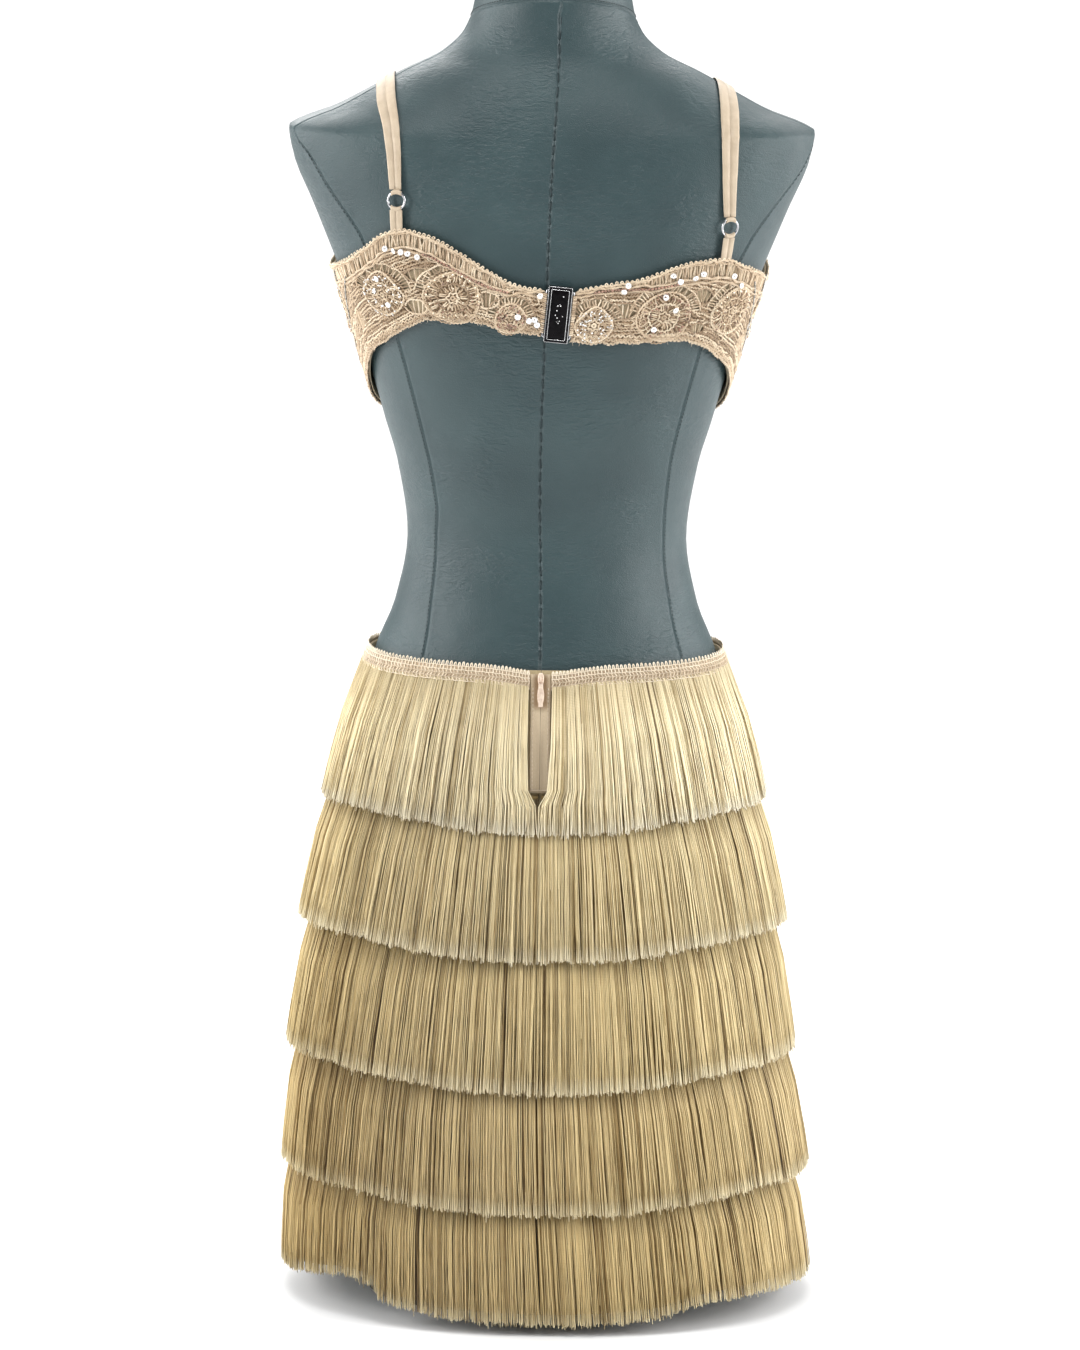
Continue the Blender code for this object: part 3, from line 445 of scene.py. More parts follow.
def tubes(shape, paths, up, radius, sides=4, closed=False, shade=0.5, flatten=1.0):
    """Round threads along paths, an array of thread, point and x, y, z. Up is roughly across each thread."""
    paths = np.asarray(paths, float)
    count, steps, _ = paths.shape
    if closed:
        tangent = unit(np.roll(paths, -1, axis=1) - np.roll(paths, 1, axis=1))
    else:
        tangent = unit(np.gradient(paths, axis=1))
    side = unit(np.cross(tangent, np.broadcast_to(up, paths.shape)))
    lift = np.cross(side, tangent)
    turn = 2 * np.pi * np.arange(sides) / sides
    ring = np.cos(turn)[:, None] * side[:, :, None, :] + flatten * np.sin(turn)[:, None] * lift[:, :, None, :]
    reach = np.broadcast_to(np.asarray(radius, float), (count, steps))
    points = paths[:, :, None, :] + reach[:, :, None, None] * ring
    index = np.arange(count * steps * sides).reshape(count, steps, sides)
    near, far = (index, np.roll(index, -1, axis=1)) if closed else (index[:, :-1], index[:, 1:])
    faces = [np.stack([near, far, np.roll(far, -1, axis=2), np.roll(near, -1, axis=2)], -1)]
    if not closed:
        faces += [index[:, 0, :], index[:, -1, ::-1]]
    gaps = np.linalg.norm(np.diff(paths, axis=1), axis=-1)
    length = np.concatenate([np.zeros((count, 1)), np.cumsum(gaps, axis=1)], axis=1)
    along = length / np.maximum(length[:, -1:], 1e-9)
    shade = np.asarray(shade, float)
    if shade.ndim == 1:
        shade = shade[:, None, None]
    shape.add(points, faces, shade=shade, along=along[:, :, None], length=length[:, :, None])


def slab(shape, outer, inner, **values):
    """A closed solid between two grids of points, one over the other."""
    rows, columns, _ = outer.shape
    index = np.arange(rows * columns).reshape(rows, columns)
    under = index + rows * columns
    quads = [np.stack([index[:-1, :-1], index[:-1, 1:], index[1:, 1:], index[1:, :-1]], -1)]
    quads += [np.stack([under[:-1, :-1], under[1:, :-1], under[1:, 1:], under[:-1, 1:]], -1)]
    rims = [(index[0], under[0]), (index[-1], under[-1])]
    rims += [(index[:, 0], under[:, 0]), (index[:, -1], under[:, -1])]
    for k, (top, low) in enumerate(rims):
        strip = np.stack([top[:-1], low[:-1], low[1:], top[1:]], -1)
        quads.append(strip if k in (0, 3) else strip[:, ::-1])
    shape.add(np.stack([outer, inner]), quads, **values)


def loft(shape, rings, **values):
    """A closed solid through rings of points, capped at both ends."""
    rings = np.asarray(rings, float)
    levels, around, _ = rings.shape
    index = np.arange(levels * around).reshape(levels, around)
    near, far = index[:-1], index[1:]
    quads = np.stack([near, np.roll(near, -1, axis=1), np.roll(far, -1, axis=1), far], -1)
    shape.add(rings, [quads, index[:1, ::-1], index[-1:]], **values)


def finished(shape, name):
    """The shape's mesh, with every face turned outward."""
    mesh = shape.mesh(name)
    turned = bmesh.new()
    turned.from_mesh(mesh)
    bmesh.ops.recalc_face_normals(turned, faces=turned.faces)
    turned.to_mesh(mesh)
    turned.free()
    return mesh


def add_piece(name, mesh, material, replaces=(), body=BODY):
    made = bpy.data.objects.new(name, mesh)
    mesh.materials.append(material)
    bpy.context.scene.collection.objects.link(made)
    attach(made, body)
    if replaces:
        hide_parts(*replaces)
    return made


def wall(name, grid, thickness, material, replaces=(), keep=None):
    """A cloth wall outside a grid of inner points, columns by rows. Cells not kept are open."""
    columns, rows, _ = grid.shape
    index = np.arange(columns * rows).reshape(columns, rows)
    cells = np.stack([index[:-1, :-1], index[:-1, 1:], index[1:, 1:], index[1:, :-1]], -1)
    cells = cells.reshape(-1, 4) if keep is None else cells[keep]
    used, places = np.unique(cells, return_inverse=True)
    shape = Shape()
    shape.add(grid.reshape(-1, 3)[used], [places.reshape(-1, 4)])
    made = add_piece(name, shape.mesh(name), material, replaces)
    skin = made.modifiers.new("Thickness", "SOLIDIFY")
    skin.thickness = thickness * MM
    skin.offset = 1.0
    return made


# Materials

def new_material(name, **shader_values):
    made = bpy.data.materials.new(name)
    made.use_nodes = True
    shader = made.node_tree.nodes["Principled BSDF"]
    for socket, value in shader_values.items():
        shader.inputs[socket.replace("_", " ")].default_value = value
    return made, made.node_tree, shader


def node(tree, kind, inputs=None, **settings):
    made = tree.nodes.new(kind)
    for key, value in settings.items():
        setattr(made, key, value)
    for key, value in (inputs or {}).items():
        if isinstance(value, bpy.types.NodeSocket):
            tree.links.new(value, made.inputs[key])
        else:
            made.inputs[key].default_value = value
    return made


def position(tree):
    return node(tree, "ShaderNodeTexCoord").outputs["Object"]


def noise(tree, size, detail=3.0, distortion=0.0, stretch=None):
    """Noise with lumps of that size in millimetres, stretched along an axis where asked."""
    vector = position(tree)
    if stretch:
        vector = node(tree, "ShaderNodeMapping", {"Vector": vector, "Scale": stretch}).outputs["Vector"]
    made = node(tree, "ShaderNodeTexNoise", {"Vector": vector, "Scale": 1 / (size * MM), "Detail": detail})
    made.inputs["Distortion"].default_value = distortion
    return made.outputs["Fac"]


def cells(tree, size, feature="F1"):
    inputs = {"Vector": position(tree), "Scale": 1 / (size * MM)}
    made = node(tree, "ShaderNodeTexVoronoi", inputs, feature=feature)
    return made.outputs["Distance"]


def field(tree, name):
    return node(tree, "ShaderNodeAttribute", attribute_name=name).outputs["Fac"]


def calculate(tree, operation, first, second=0.0, third=0.0):
    made = node(tree, "ShaderNodeMath", operation=operation)
    for socket, value in zip(made.inputs, (first, second, third)):
        if isinstance(value, bpy.types.NodeSocket):
            tree.links.new(value, socket)
        else:
            socket.default_value = value
    return made.outputs[0]


def ramp(tree, value, *stops):
    """Colours at places from 0 to 1."""
    made = node(tree, "ShaderNodeValToRGB", {"Fac": value})
    band = made.color_ramp
    while len(band.elements) < len(stops):
        band.elements.new(0.5)
    for element, (place, color) in zip(band.elements, stops):
        element.position = place
        element.color = (*color, 1.0)
    return made.outputs["Color"]


def mixed(tree, share, first, second, blend="MIX"):
    made = node(tree, "ShaderNodeMix", data_type="RGBA", blend_type=blend)
    for key, value in ((0, share), (6, first), (7, second)):
        if isinstance(value, bpy.types.NodeSocket):
            tree.links.new(value, made.inputs[key])
        else:
            made.inputs[key].default_value = value if key == 0 else (*value, 1.0)
    return made.outputs[2]


def scaled(tree, value, low, high):
    """Maps 0 to 1 onto low to high."""
    return calculate(tree, "MULTIPLY_ADD", value, high - low, low)


def bumped(tree, shader, *layers):
    """Bumps over each other, each a height, a depth in millimetres and a strength."""
    normal = None
    for height, depth, strength in layers:
        inputs = {"Height": height, "Distance": depth * MM, "Strength": strength}
        if normal:
            inputs["Normal"] = normal
        normal = node(tree, "ShaderNodeBump", inputs).outputs["Normal"]
    tree.links.new(normal, shader.inputs["Normal"])


def paint(tree, shader, color, roughness=None):
    tree.links.new(color, shader.inputs["Base Color"])
    if roughness:
        tree.links.new(roughness, shader.inputs["Roughness"])


def leather_material(name, dark, mid, light):
    made, tree, shader = new_material(name, Specular_IOR_Level=0.5)
    mottle = noise(tree, 60, 3.0, 0.3)
    color = ramp(tree, mottle, (0.3, dark), (0.5, mid), (0.72, light))
    grain = calculate(tree, "MINIMUM", cells(tree, 1.3, "DISTANCE_TO_EDGE"), 0.35)
    # Painted shade: the grain's creases are darkened a little.
    painted_crease_shade = ramp(tree, grain, (0.0, (0.8, 0.8, 0.8)), (0.16, (1.0, 1.0, 1.0)))
    color = mixed(tree, 0.4, color, painted_crease_shade, "MULTIPLY")
    wrinkles = noise(tree, 6.5, 2.5, 0.9, (0.75, 0.75, 2.1))
    places = ramp(tree, noise(tree, 75, 2.0), (0.42, (0.0, 0.0, 0.0)), (0.62, (1.0, 1.0, 1.0)))
    wrinkles = calculate(tree, "MULTIPLY", wrinkles, places)
    # Painted highlight: the colour is lifted on the tops of the wrinkles.
    painted_ridge_highlight = ramp(tree, wrinkles, (0.0, (1, 1, 1)), (0.6, (1.16, 1.16, 1.16)))
    color = mixed(tree, 0.5, color, painted_ridge_highlight, "MULTIPLY")
    paint(tree, shader, color, scaled(tree, noise(tree, 9, 4.0), 0.36, 0.52))
    bumped(
        tree,
        shader,
        (noise(tree, 30, 2.0), 0.9, 0.25),
        (wrinkles, 1.6, 0.8),
        (noise(tree, 3.2, 3.0, 0.8, (0.8, 0.8, 1.6)), 0.5, 0.45),
        (grain, 0.5, 0.5),
        (noise(tree, 0.6, 2.0), 0.12, 0.3),
    )
    return made


def thread_material(name, dark, mid, light, roughness=0.8, ridge=1.0, sheen=0.25):
    """Crochet cotton: shade from thread to thread, twist ridges along each one, and fine fuzz."""
    made, tree, shader = new_material(
        name, Roughness=roughness, Sheen_Weight=sheen, Sheen_Roughness=0.4, Specular_IOR_Level=0.3
    )
    shade = calculate(tree, "ADD", field(tree, "shade"), scaled(tree, noise(tree, 7, 3.0), -0.22, 0.22))
    color = ramp(tree, shade, (0.05, dark), (0.5, mid), (0.95, light))
    turn = calculate(tree, "MULTIPLY", field(tree, "length"), 2 * math.pi / ridge)
    twist = scaled(tree, calculate(tree, "SINE", turn), 0.5, 1.0)
    shadow = ramp(tree, twist, (0.0, (0.78, 0.74, 0.7)), (0.6, (1.0, 1.0, 1.0)))
    color = mixed(tree, 0.55, color, shadow, "MULTIPLY")
    paint(tree, shader, color)
    bumped(tree, shader, (twist, 0.3, 0.4), (noise(tree, 0.5, 2.0), 0.2, 0.4))
    return made


def ground_material(name, dark, mid, light):
    """Close crochet stitches: rounded lumps with painted shade in the hollows between them."""
    made, tree, shader = new_material(
        name, Roughness=0.85, Sheen_Weight=0.2, Sheen_Roughness=0.4, Specular_IOR_Level=0.25
    )
    lumps = calculate(tree, "SUBTRACT", 1.0, cells(tree, 1.9))
    fibres = noise(tree, 0.7, 3.0, 0.0, (1.0, 1.0, 0.4))
    height = calculate(tree, "MULTIPLY_ADD", fibres, 0.25, lumps)
    # Painted shade: dark in the hollows between the lumps, light on their tops.
    color = ramp(tree, lumps, (0.25, dark), (0.55, mid), (0.9, light))
    color = mixed(tree, scaled(tree, noise(tree, 14, 3.0), 0.0, 0.5), color, mid)
    paint(tree, shader, color)
    bumped(tree, shader, (height, 0.9, 0.75))
    return made


def mesh_cloth_material(name, dark, light, pitch=0.9):
    """Fine net: crossed waves of thread with darker holes."""
    made, tree, shader = new_material(name, Roughness=0.7, Sheen_Weight=0.15, Specular_IOR_Level=0.3)
    net = cells(tree, pitch, "DISTANCE_TO_EDGE")
    net = calculate(tree, "MINIMUM", calculate(tree, "MULTIPLY", net, 4.0), 1.0)
    holes = mixed(tree, net, light, dark)
    drift = scaled(tree, noise(tree, 22, 3.0), 0.1, 0.5)
    paint(tree, shader, mixed(tree, drift, holes, light))
    bumped(tree, shader, (net, -0.15, 0.4), (noise(tree, 9, 2.0), 0.5, 0.2))
    return made


def weave(tree, pitch, turn=0.0):
    """Height of a plain weave: two sets of threads that cross."""
    waves = []
    for angle in (turn, turn + math.pi / 2):
        vector = node(
            tree, "ShaderNodeMapping", {"Vector": position(tree), "Rotation": (0.0, angle, 0.0)}
        ).outputs["Vector"]
        inputs = {"Vector": vector, "Scale": 0.314 / (pitch * MM), "Distortion": 0.3}
        waves.append(node(tree, "ShaderNodeTexWave", inputs).outputs["Fac"])
    return calculate(tree, "MULTIPLY", waves[0], waves[1])


def woven_material(name, dark, light, pitch=0.7, roughness=0.8, sheen=0.2, turn=0.0, recess=False):
    made, tree, shader = new_material(
        name, Roughness=roughness, Sheen_Weight=sheen, Sheen_Roughness=0.4, Specular_IOR_Level=0.3
    )
    cloth = weave(tree, pitch, turn)
    color = ramp(tree, cloth, (0.05, dark), (0.7, light))
    color = mixed(tree, scaled(tree, noise(tree, 12, 3.0), 0.0, 0.35), color, dark)
    if recess:
        # Painted shadow: where the shade field is low the colour is darkened, round the zip's slider and pull.
        painted_shadow = ramp(tree, field(tree, "shade"), (0.0, (0.42, 0.34, 0.27)), (1.0, (1.0, 1.0, 1.0)))
        color = mixed(tree, 1.0, color, painted_shadow, "MULTIPLY")
    paint(tree, shader, color)
    bumped(tree, shader, (cloth, 0.2, 0.5), (noise(tree, 8, 2.0), 0.4, 0.15))
    return made


def satin_material(name, dark, light):
    made, tree, shader = new_material(
        name, Sheen_Weight=0.3, Sheen_Roughness=0.3, Specular_IOR_Level=0.45, Anisotropic=0.4
    )
    grain = noise(tree, 0.5, 2.0, 0.0, (1.0, 1.0, 0.15))
    color = ramp(tree, noise(tree, 9, 3.0), (0.3, dark), (0.7, light))
    color = mixed(tree, 0.25, color, ramp(tree, grain, (0.3, dark), (0.6, light)))
    paint(tree, shader, color, scaled(tree, grain, 0.36, 0.56))
    bumped(tree, shader, (grain, 0.12, 0.4), (noise(tree, 6, 2.0, 0.5, (1.0, 1.0, 0.4)), 0.5, 0.25))
    return made


def fringe_material(name, painted_root_shadow, root, mid, tip):
    """Rayon thread: painted shadow at the root, pale at the cut tip, and uneven from thread to thread."""
    made, tree, shader = new_material(
        name, Roughness=0.55, Sheen_Weight=0.15, Sheen_Roughness=0.35, Specular_IOR_Level=0.35
    )
    shaded = tuple(painted_root_shadow * part for part in root)
    along = field(tree, "along")
    color = ramp(tree, along, (0.05, shaded), (0.12, root), (0.4, mid), (0.9, mid), (0.98, tip))
    uneven = calculate(tree, "ADD", field(tree, "shade"), scaled(tree, noise(tree, 16, 3.0), -0.16, 0.16))
    tone = ramp(tree, uneven, (0.0, (0.14, 0.095, 0.05)), (0.28, (0.52, 0.45, 0.33)), (0.66, (1.0, 1.0, 1.0)))
    color = mixed(tree, 1.0, color, tone, "MULTIPLY")
    paint(tree, shader, color)
    turn = calculate(tree, "MULTIPLY", field(tree, "length"), 2 * math.pi / 1.2)
    bumped(tree, shader, (calculate(tree, "SINE", turn), 0.1, 0.3))
    return made


def metal_material(name, dark, light, roughness=0.14, scratches=0.15, metallic=1.0):
    made, tree, shader = new_material(name, Metallic=metallic)
    wear = noise(tree, 2.2, 4.0, 0.4)
    color = ramp(tree, wear, (0.3, dark), (0.65, light))
    paint(tree, shader, color, scaled(tree, wear, roughness, roughness + 0.2))
    bumped(tree, shader, (noise(tree, 0.8, 3.0), 0.08, scratches))
    return made


def enamel_material(name):
    made, tree, shader = new_material(name, Specular_IOR_Level=0.08, Coat_Weight=0.03, Coat_Roughness=0.05)
    drift = noise(tree, 5, 3.0, 0.8)
    color = ramp(tree, drift, (0.35, (0.001, 0.001, 0.0015)), (0.8, (0.006, 0.005, 0.006)))
    paint(tree, shader, color, scaled(tree, drift, 0.06, 0.22))
    bumped(tree, shader, (drift, 0.7, 0.5), (noise(tree, 1.4, 2.0), 0.2, 0.35))
    return made


def glass_material(name, dark, light, roughness):
    """Beads and spangles: pale, glossy and a little milky."""
    made, tree, shader = new_material(
        name, Specular_IOR_Level=0.9, Coat_Weight=0.6, Coat_Roughness=0.08, Metallic=0.25
    )
    shade = calculate(tree, "ADD", field(tree, "shade"), scaled(tree, noise(tree, 1.5, 2.0), -0.15, 0.15))
    color = ramp(tree, shade, (0.1, dark), (0.8, light))
    paint(tree, shader, color, scaled(tree, shade, roughness, roughness + 0.1))
    return made


def floor_material(name):
    made, tree, shader = new_material(name, Roughness=0.9, Specular_IOR_Level=0.1)
    paint(tree, shader, ramp(tree, noise(tree, 900, 2.0), (0.2, (0.9, 0.9, 0.9)), (0.8, (0.94, 0.94, 0.94))))
    return made


LEATHER = leather_material("form_leather", (0.022, 0.045, 0.050), (0.027, 0.053, 0.058), (0.033, 0.062, 0.067))
FORM_THREAD = thread_material(
    "form_thread", (0.01, 0.016, 0.018), (0.016, 0.026, 0.029), (0.03, 0.046, 0.05), 0.6, 1.2, 0.0
)
FORM_DARK_THREAD = thread_material(
    "form_lacing", (0.009, 0.014, 0.016), (0.014, 0.022, 0.025), (0.022, 0.034, 0.038), 0.6, 1.4, 0.0
)
COTTON = thread_material("lace_thread", (0.24, 0.16, 0.095), (0.63, 0.485, 0.335), (0.96, 0.84, 0.65))
# The close ground is painted far darker than the lace's threads, for the shade under them.
GROUND = ground_material("lace_ground", (0.05, 0.03, 0.016), (0.22, 0.148, 0.086), (0.54, 0.4, 0.265))
LINING = mesh_cloth_material("lining_mesh", (0.24, 0.19, 0.12), (0.5, 0.405, 0.265))
SATIN = satin_material("strap_satin", (0.43, 0.34, 0.24), (0.54, 0.44, 0.32))
SKIRT_CLOTH = woven_material("skirt_cloth", (0.34, 0.26, 0.14), (0.6, 0.49, 0.3))
BRAID = thread_material("waistband_braid", (0.42, 0.32, 0.21), (0.8, 0.67, 0.5), (0.94, 0.84, 0.68), 0.75, 1.3)
CHROME = metal_material("polished_metal", (0.42, 0.42, 0.44), (0.7, 0.7, 0.72), 0.08)
# Painted highlight: a bright copy of the clasp's metal for lines on its edges.
HIGHLIGHT_EDGE_METAL = metal_material("painted_highlight_edges", (0.8, 0.8, 0.82), (0.97, 0.97, 0.97), 0.05, 0.05)
GUNMETAL = metal_material("clasp_metal", (0.012, 0.012, 0.014), (0.04, 0.04, 0.042), 0.07, 0.1)
ENAMEL = enamel_material("dark_enamel")
ZIP_METAL = metal_material("zip_metal", (0.62, 0.46, 0.35), (0.82, 0.68, 0.55), 0.3, 0.15, 0.3)
ZIP_CLOTH = woven_material(
    "zip_tape", (0.46, 0.36, 0.24), (0.86, 0.73, 0.53), 0.6, 0.75, 0.15, math.pi / 4, True
)
ZIP_THREAD = thread_material("zip_stitching", (0.09, 0.065, 0.04), (0.7, 0.6, 0.46), (0.88, 0.79, 0.64))
SPANGLE = glass_material("spangle", (0.6, 0.57, 0.52), (0.95, 0.95, 0.95), 0.08)
SEED_BEAD = glass_material("seed_bead", (0.5, 0.38, 0.22), (0.9, 0.8, 0.62), 0.12)
DARK_BEAD = glass_material("dark_bead", (0.14, 0.07, 0.045), (0.42, 0.23, 0.16), 0.15)
GREY_BEAD = glass_material("grey_bead", (0.1, 0.1, 0.09), (0.5, 0.49, 0.45), 0.12)
# Root, middle and tip colours of each tier. All tiers are one yarn: the darker roots are painted shadow under the
# braid or tier above, and the lower tiers are painted darker than the top one for the light and shade they get;
# the pale tips are the cut ends.
FRINGE_COLORS_WITH_PAINTED_SHADE = (
    ((0.82, 0.70, 0.45), (0.95, 0.84, 0.57), (0.97, 0.90, 0.70)),
    ((0.60, 0.48, 0.26), (0.77, 0.64, 0.37), (0.95, 0.86, 0.62)),
    ((0.55, 0.425, 0.21), (0.72, 0.58, 0.31), (0.93, 0.83, 0.57)),
    ((0.50, 0.375, 0.18), (0.67, 0.525, 0.27), (0.9, 0.79, 0.52)),
    ((0.49, 0.36, 0.165), (0.66, 0.51, 0.25), (0.86, 0.74, 0.46)),
)


# The dress form

FRONT_SEAM = 142.0
SEAM_WIDTHS = (0.0, 0.55, 1.2, 2.2, 4.0)  # columns beside each seam
FORM_SPREAD = 3.4  # spacing of the other columns in degrees
GROOVE_DEPTH = 0.75
GROOVE_WIDTH = 0.85


def collar_height(angle):
    return COLLAR_HEIGHT - 0.0022 * np.minimum(np.abs(angle), 112) ** 2


def seam_angles(height):
    """The angle of each seam at a height, from the centre front round to it again."""
    lines = [SEAM_LINES.read(name, height) for name in ("back_right", "centre_back", "back_left")]
    return [-180.0, -FRONT_SEAM, *[float(line) for line in lines], FRONT_SEAM, 180.0]


def form_columns(height):
    """Angles of the form's columns at a height, close together beside the seams, and each one's groove."""
    seams = seam_angles(height)
    middle_seams = seam_angles(700)
    angles, depths = [], []
    for k in range(len(seams) - 1):
        low, high = seams[k], seams[k + 1]
        near = [math.degrees(w / float(form_radius(low, height))) for w in SEAM_WIDTHS]
        beyond = [math.degrees(w / float(form_radius(high, height))) for w in SEAM_WIDTHS[:0:-1]]
        count = max(2, round((middle_seams[k + 1] - middle_seams[k]) / FORM_SPREAD))
        start, end = low + near[-1], high - beyond[0]
        between = [start + (end - start) * i / count for i in range(1, count)]
        angles += [low + step for step in near] + between + [high - step for step in beyond]
        depths += list(SEAM_WIDTHS) + [1e3] * len(between) + list(SEAM_WIDTHS[:0:-1])
    return np.array(angles), np.array(depths)


def groove(distance):
    """How far the leather dips into a seam, with a soft swell beside it."""
    dip = -GROOVE_DEPTH * np.exp(-((distance / GROOVE_WIDTH) ** 2))
    return dip + 0.22 * np.exp(-(((distance - 2.4) / 1.3) ** 2))


def form_levels():
    """Heights of the form's rows as (height, share of the way from 970 to the collar seam or beyond)."""
    rows = [(height, None) for height in np.arange(0, 470, 47.0)]
    rows += [(height, None) for height in np.arange(470, 890, 10.0)]
    rows += [(height, None) for height in np.arange(890, 970, 3.2)]
    rows += [(970.0, step) for step in (0.0, 0.2, 0.4, 0.6, 0.8)]
    rows += [(COLLAR_HEIGHT, width) for width in (-4.0, -2.2, -1.2, -0.55, 0.0, 0.55, 1.2, 2.2, 4.0)]
    rows += [(NECK_TOP, step) for step in (0.25, 0.5, 0.75, 1.0)]
    return rows


def level_heights(row, angles):
    height, share = row
    collar = collar_height(angles)
    if share is None:
        return np.full(len(angles), float(height))
    if height == COLLAR_HEIGHT:
        return collar + share
    if height == NECK_TOP:
        start = collar + SEAM_WIDTHS[-1]
        return start + (NECK_TOP - start) * share
    return height + (collar - SEAM_WIDTHS[-1] - height) * share


def make_form():
    shape = Shape()
    rings = []
    for row in form_levels():
        angles, depths = form_columns(min(float(row[0]), NECK_TOP))
        heights = level_heights(row, angles)
        dip = groove(depths)
        if row[0] == COLLAR_HEIGHT and row[1] is not None:
            dip = np.minimum(dip, groove(abs(row[1])) - 0.1)
        rings.append(cloth_point(angles, heights, dip))
    loft(shape, rings, shade=0.5)
    add_piece("form_body", finished(shape, "form_body"), LEATHER, ["dress_form"])


def make_neck_cap():
    """The cap that closes the neck, with a rounded edge."""
    shape = Shape()
    angles = np.arange(0, 360, 5.0)
    base = form_radius(angles, NECK_TOP) - NECK_CAP_INSET
    levels = [(NECK_TOP + SEAM, 0.0), (NECK_CAP_TOP - 4.0, 0.0)]
    for turn in np.linspace(0.3, math.pi / 2, 5):
        levels.append((NECK_CAP_TOP - 4 + 4 * math.sin(turn), 4 - 4 * math.cos(turn)))
    levels += [(NECK_CAP_TOP, 12.0), (NECK_CAP_TOP, 30.0)]
    rings = [round_point(angles, base - inset, height) for height, inset in levels]
    loft(shape, rings, shade=0.5)
    add_piece("form_cap", finished(shape, "form_cap"), LEATHER, ["form_neck_cap"])


def stitch_row(shape, line, offset_angle_mm, low, high, pitch, length, radius, sway=0.0):
    """Short stitches along a seam line, a fixed distance to one side of it."""
    count = int((high - low) / pitch)
    middles = low + pitch * (np.arange(count) + 0.5)
    heights = middles[:, None] + length * np.array([-0.5, -0.25, 0.25, 0.5])
    aside = offset_angle_mm + sway * (np.arange(count) % 2 - 0.5)[:, None] * np.array([1, 0.5, -0.5, -1])
    angles = line(heights) + np.degrees(aside / form_radius(line(heights), heights))
    lift = np.array([-0.35, 0.25, 0.25, -0.35])
    tubes(shape, cloth_point(angles, heights, lift), form_normal(angles, heights), radius, 3)


def make_form_stitching():
    fine, lacing = Shape(), Shape()
    lines = (
        (lambda h: SEAM_LINES.read("back_left", h), 1.9),
        (lambda h: SEAM_LINES.read("back_right", h), -1.9),
        (lambda h: 0 * h + FRONT_SEAM, -1.9),
        (lambda h: 0 * h - FRONT_SEAM, 1.9),
    )
    for line, aside in lines:
        stitch_row(fine, line, aside, 508, 898, 2.9, 2.0, 0.3)
    stitch_row(lacing, lambda h: SEAM_LINES.read("centre_back", h), 0.0, 508, 1004, 10.4, 7.4, 0.3, 0.7)
    stitch_row(fine, lambda h: 0 * h + 180.0, 1.9, 508, 690, 2.9, 2.0, 0.3)
    angles = np.arange(-178, 178, 2.6)[:, None] + np.array([-0.8, -0.4, 0.0, 0.4, 0.8])
    heights = collar_height(angles) + 2.0
    lift = np.array([-0.3, 0.15, 0.25, 0.15, -0.3])
    tubes(fine, cloth_point(angles, heights, lift), form_normal(angles, heights), 0.3, 5)
    add_piece("form_stitches", fine.mesh("form_stitches"), FORM_THREAD)
    add_piece("form_lacing", lacing.mesh("form_lacing"), FORM_DARK_THREAD)


# Crochet lace

class Panel:
    """A lace panel over the form between two edges. Its own angles are mirrored if side is -1."""

    def __init__(self, name, edges, low, high, ladder, rosettes, gaps, side=1):
        self.name = name
        self.edges = edges
        self.low = low
        self.high = high
        self.ladder_table = ladder
        self.rosettes = rosettes
        self.gaps = gaps
        self.side = side

    def top(self, angle):
        return self.edges.read("top", angle)

    def bottom(self, angle):
        return self.edges.read("bottom", angle)

    def ladder(self, angle):
        return self.ladder_table.read("depth", angle)

    def place(self, angle, height):
        turned = self.side * np.asarray(angle, float)
        return turned + clasp_lean(turned, height), height

    def point(self, angle, height, offset):
        return cloth_point(*self.place(angle, height), offset)

    def normal(self, angle, height):
        return form_normal(*self.place(angle, height))

    def inside(self, angle, height):
        return (angle >= self.low) & (angle <= self.high) & (height > self.bottom(angle))


class Midriff(Panel):
    """The panel below the centre front. Its top edge is the front's lower edge."""

    def top(self, angle):
        return FRONT_LEFT_EDGES.read("bottom", 180 - np.abs(angle - 180)) - MIDRIFF_TOP_SEAM

    def bottom(self, angle):
        return 0 * np.asarray(angle, float) + WAIST_TOP + 0.5

    def ladder(self, angle):
        return 0 * np.asarray(angle, float) - 4.0

    def inside(self, angle, height):
        within = np.abs(angle - 180) < MIDRIFF_WIDTHS.read("half_angle", height)
        return within & (height > self.bottom(angle)) & (height < self.top(angle))


BACK_LEFT = Panel(
    "back_left", BACK_LEFT_EDGES, 2.95, 89.9, BACK_LEFT_LADDER, BACK_LEFT_ROSETTES, BACK_LEFT_GAPS
)
BACK_RIGHT = Panel(
    "back_right", BACK_RIGHT_EDGES, -89.9, -9.85, BACK_RIGHT_LADDER, BACK_RIGHT_ROSETTES, BACK_RIGHT_GAPS
)
FRONT_LEFT = Panel(
    "front_left", FRONT_LEFT_EDGES, 90.1, 180 - FRONT_GAP_ANGLE, FRONT_LADDER, FRONT_ROSETTES, FRONT_GAPS
)
FRONT_RIGHT = Panel(
    "front_right", FRONT_RIGHT_EDGES, 90.1, 180 - FRONT_GAP_ANGLE, FRONT_LADDER, FRONT_ROSETTES, FRONT_GAPS, -1
)
MIDRIFF = Midriff("midriff", None, 150, 210, None, MIDRIFF_ROSETTES, MIDRIFF_GAPS)

CORD_DEPTH = 4.6  # of the double cord under the ladder
ARC_REACH = 6.5  # of the ladder bars round a rosette's upper half
LOWER_BAND = 6.0
ROSETTE_RISE = 1.3


def away(centre, angle, height):
    """Distance in millimetres and direction in degrees from a centre on the surface."""
    across = np.radians(angle - centre[0]) * form_radius(centre[0], centre[1])
    return np.hypot(across, height - centre[1]), np.degrees(np.arctan2(height - centre[1], across))


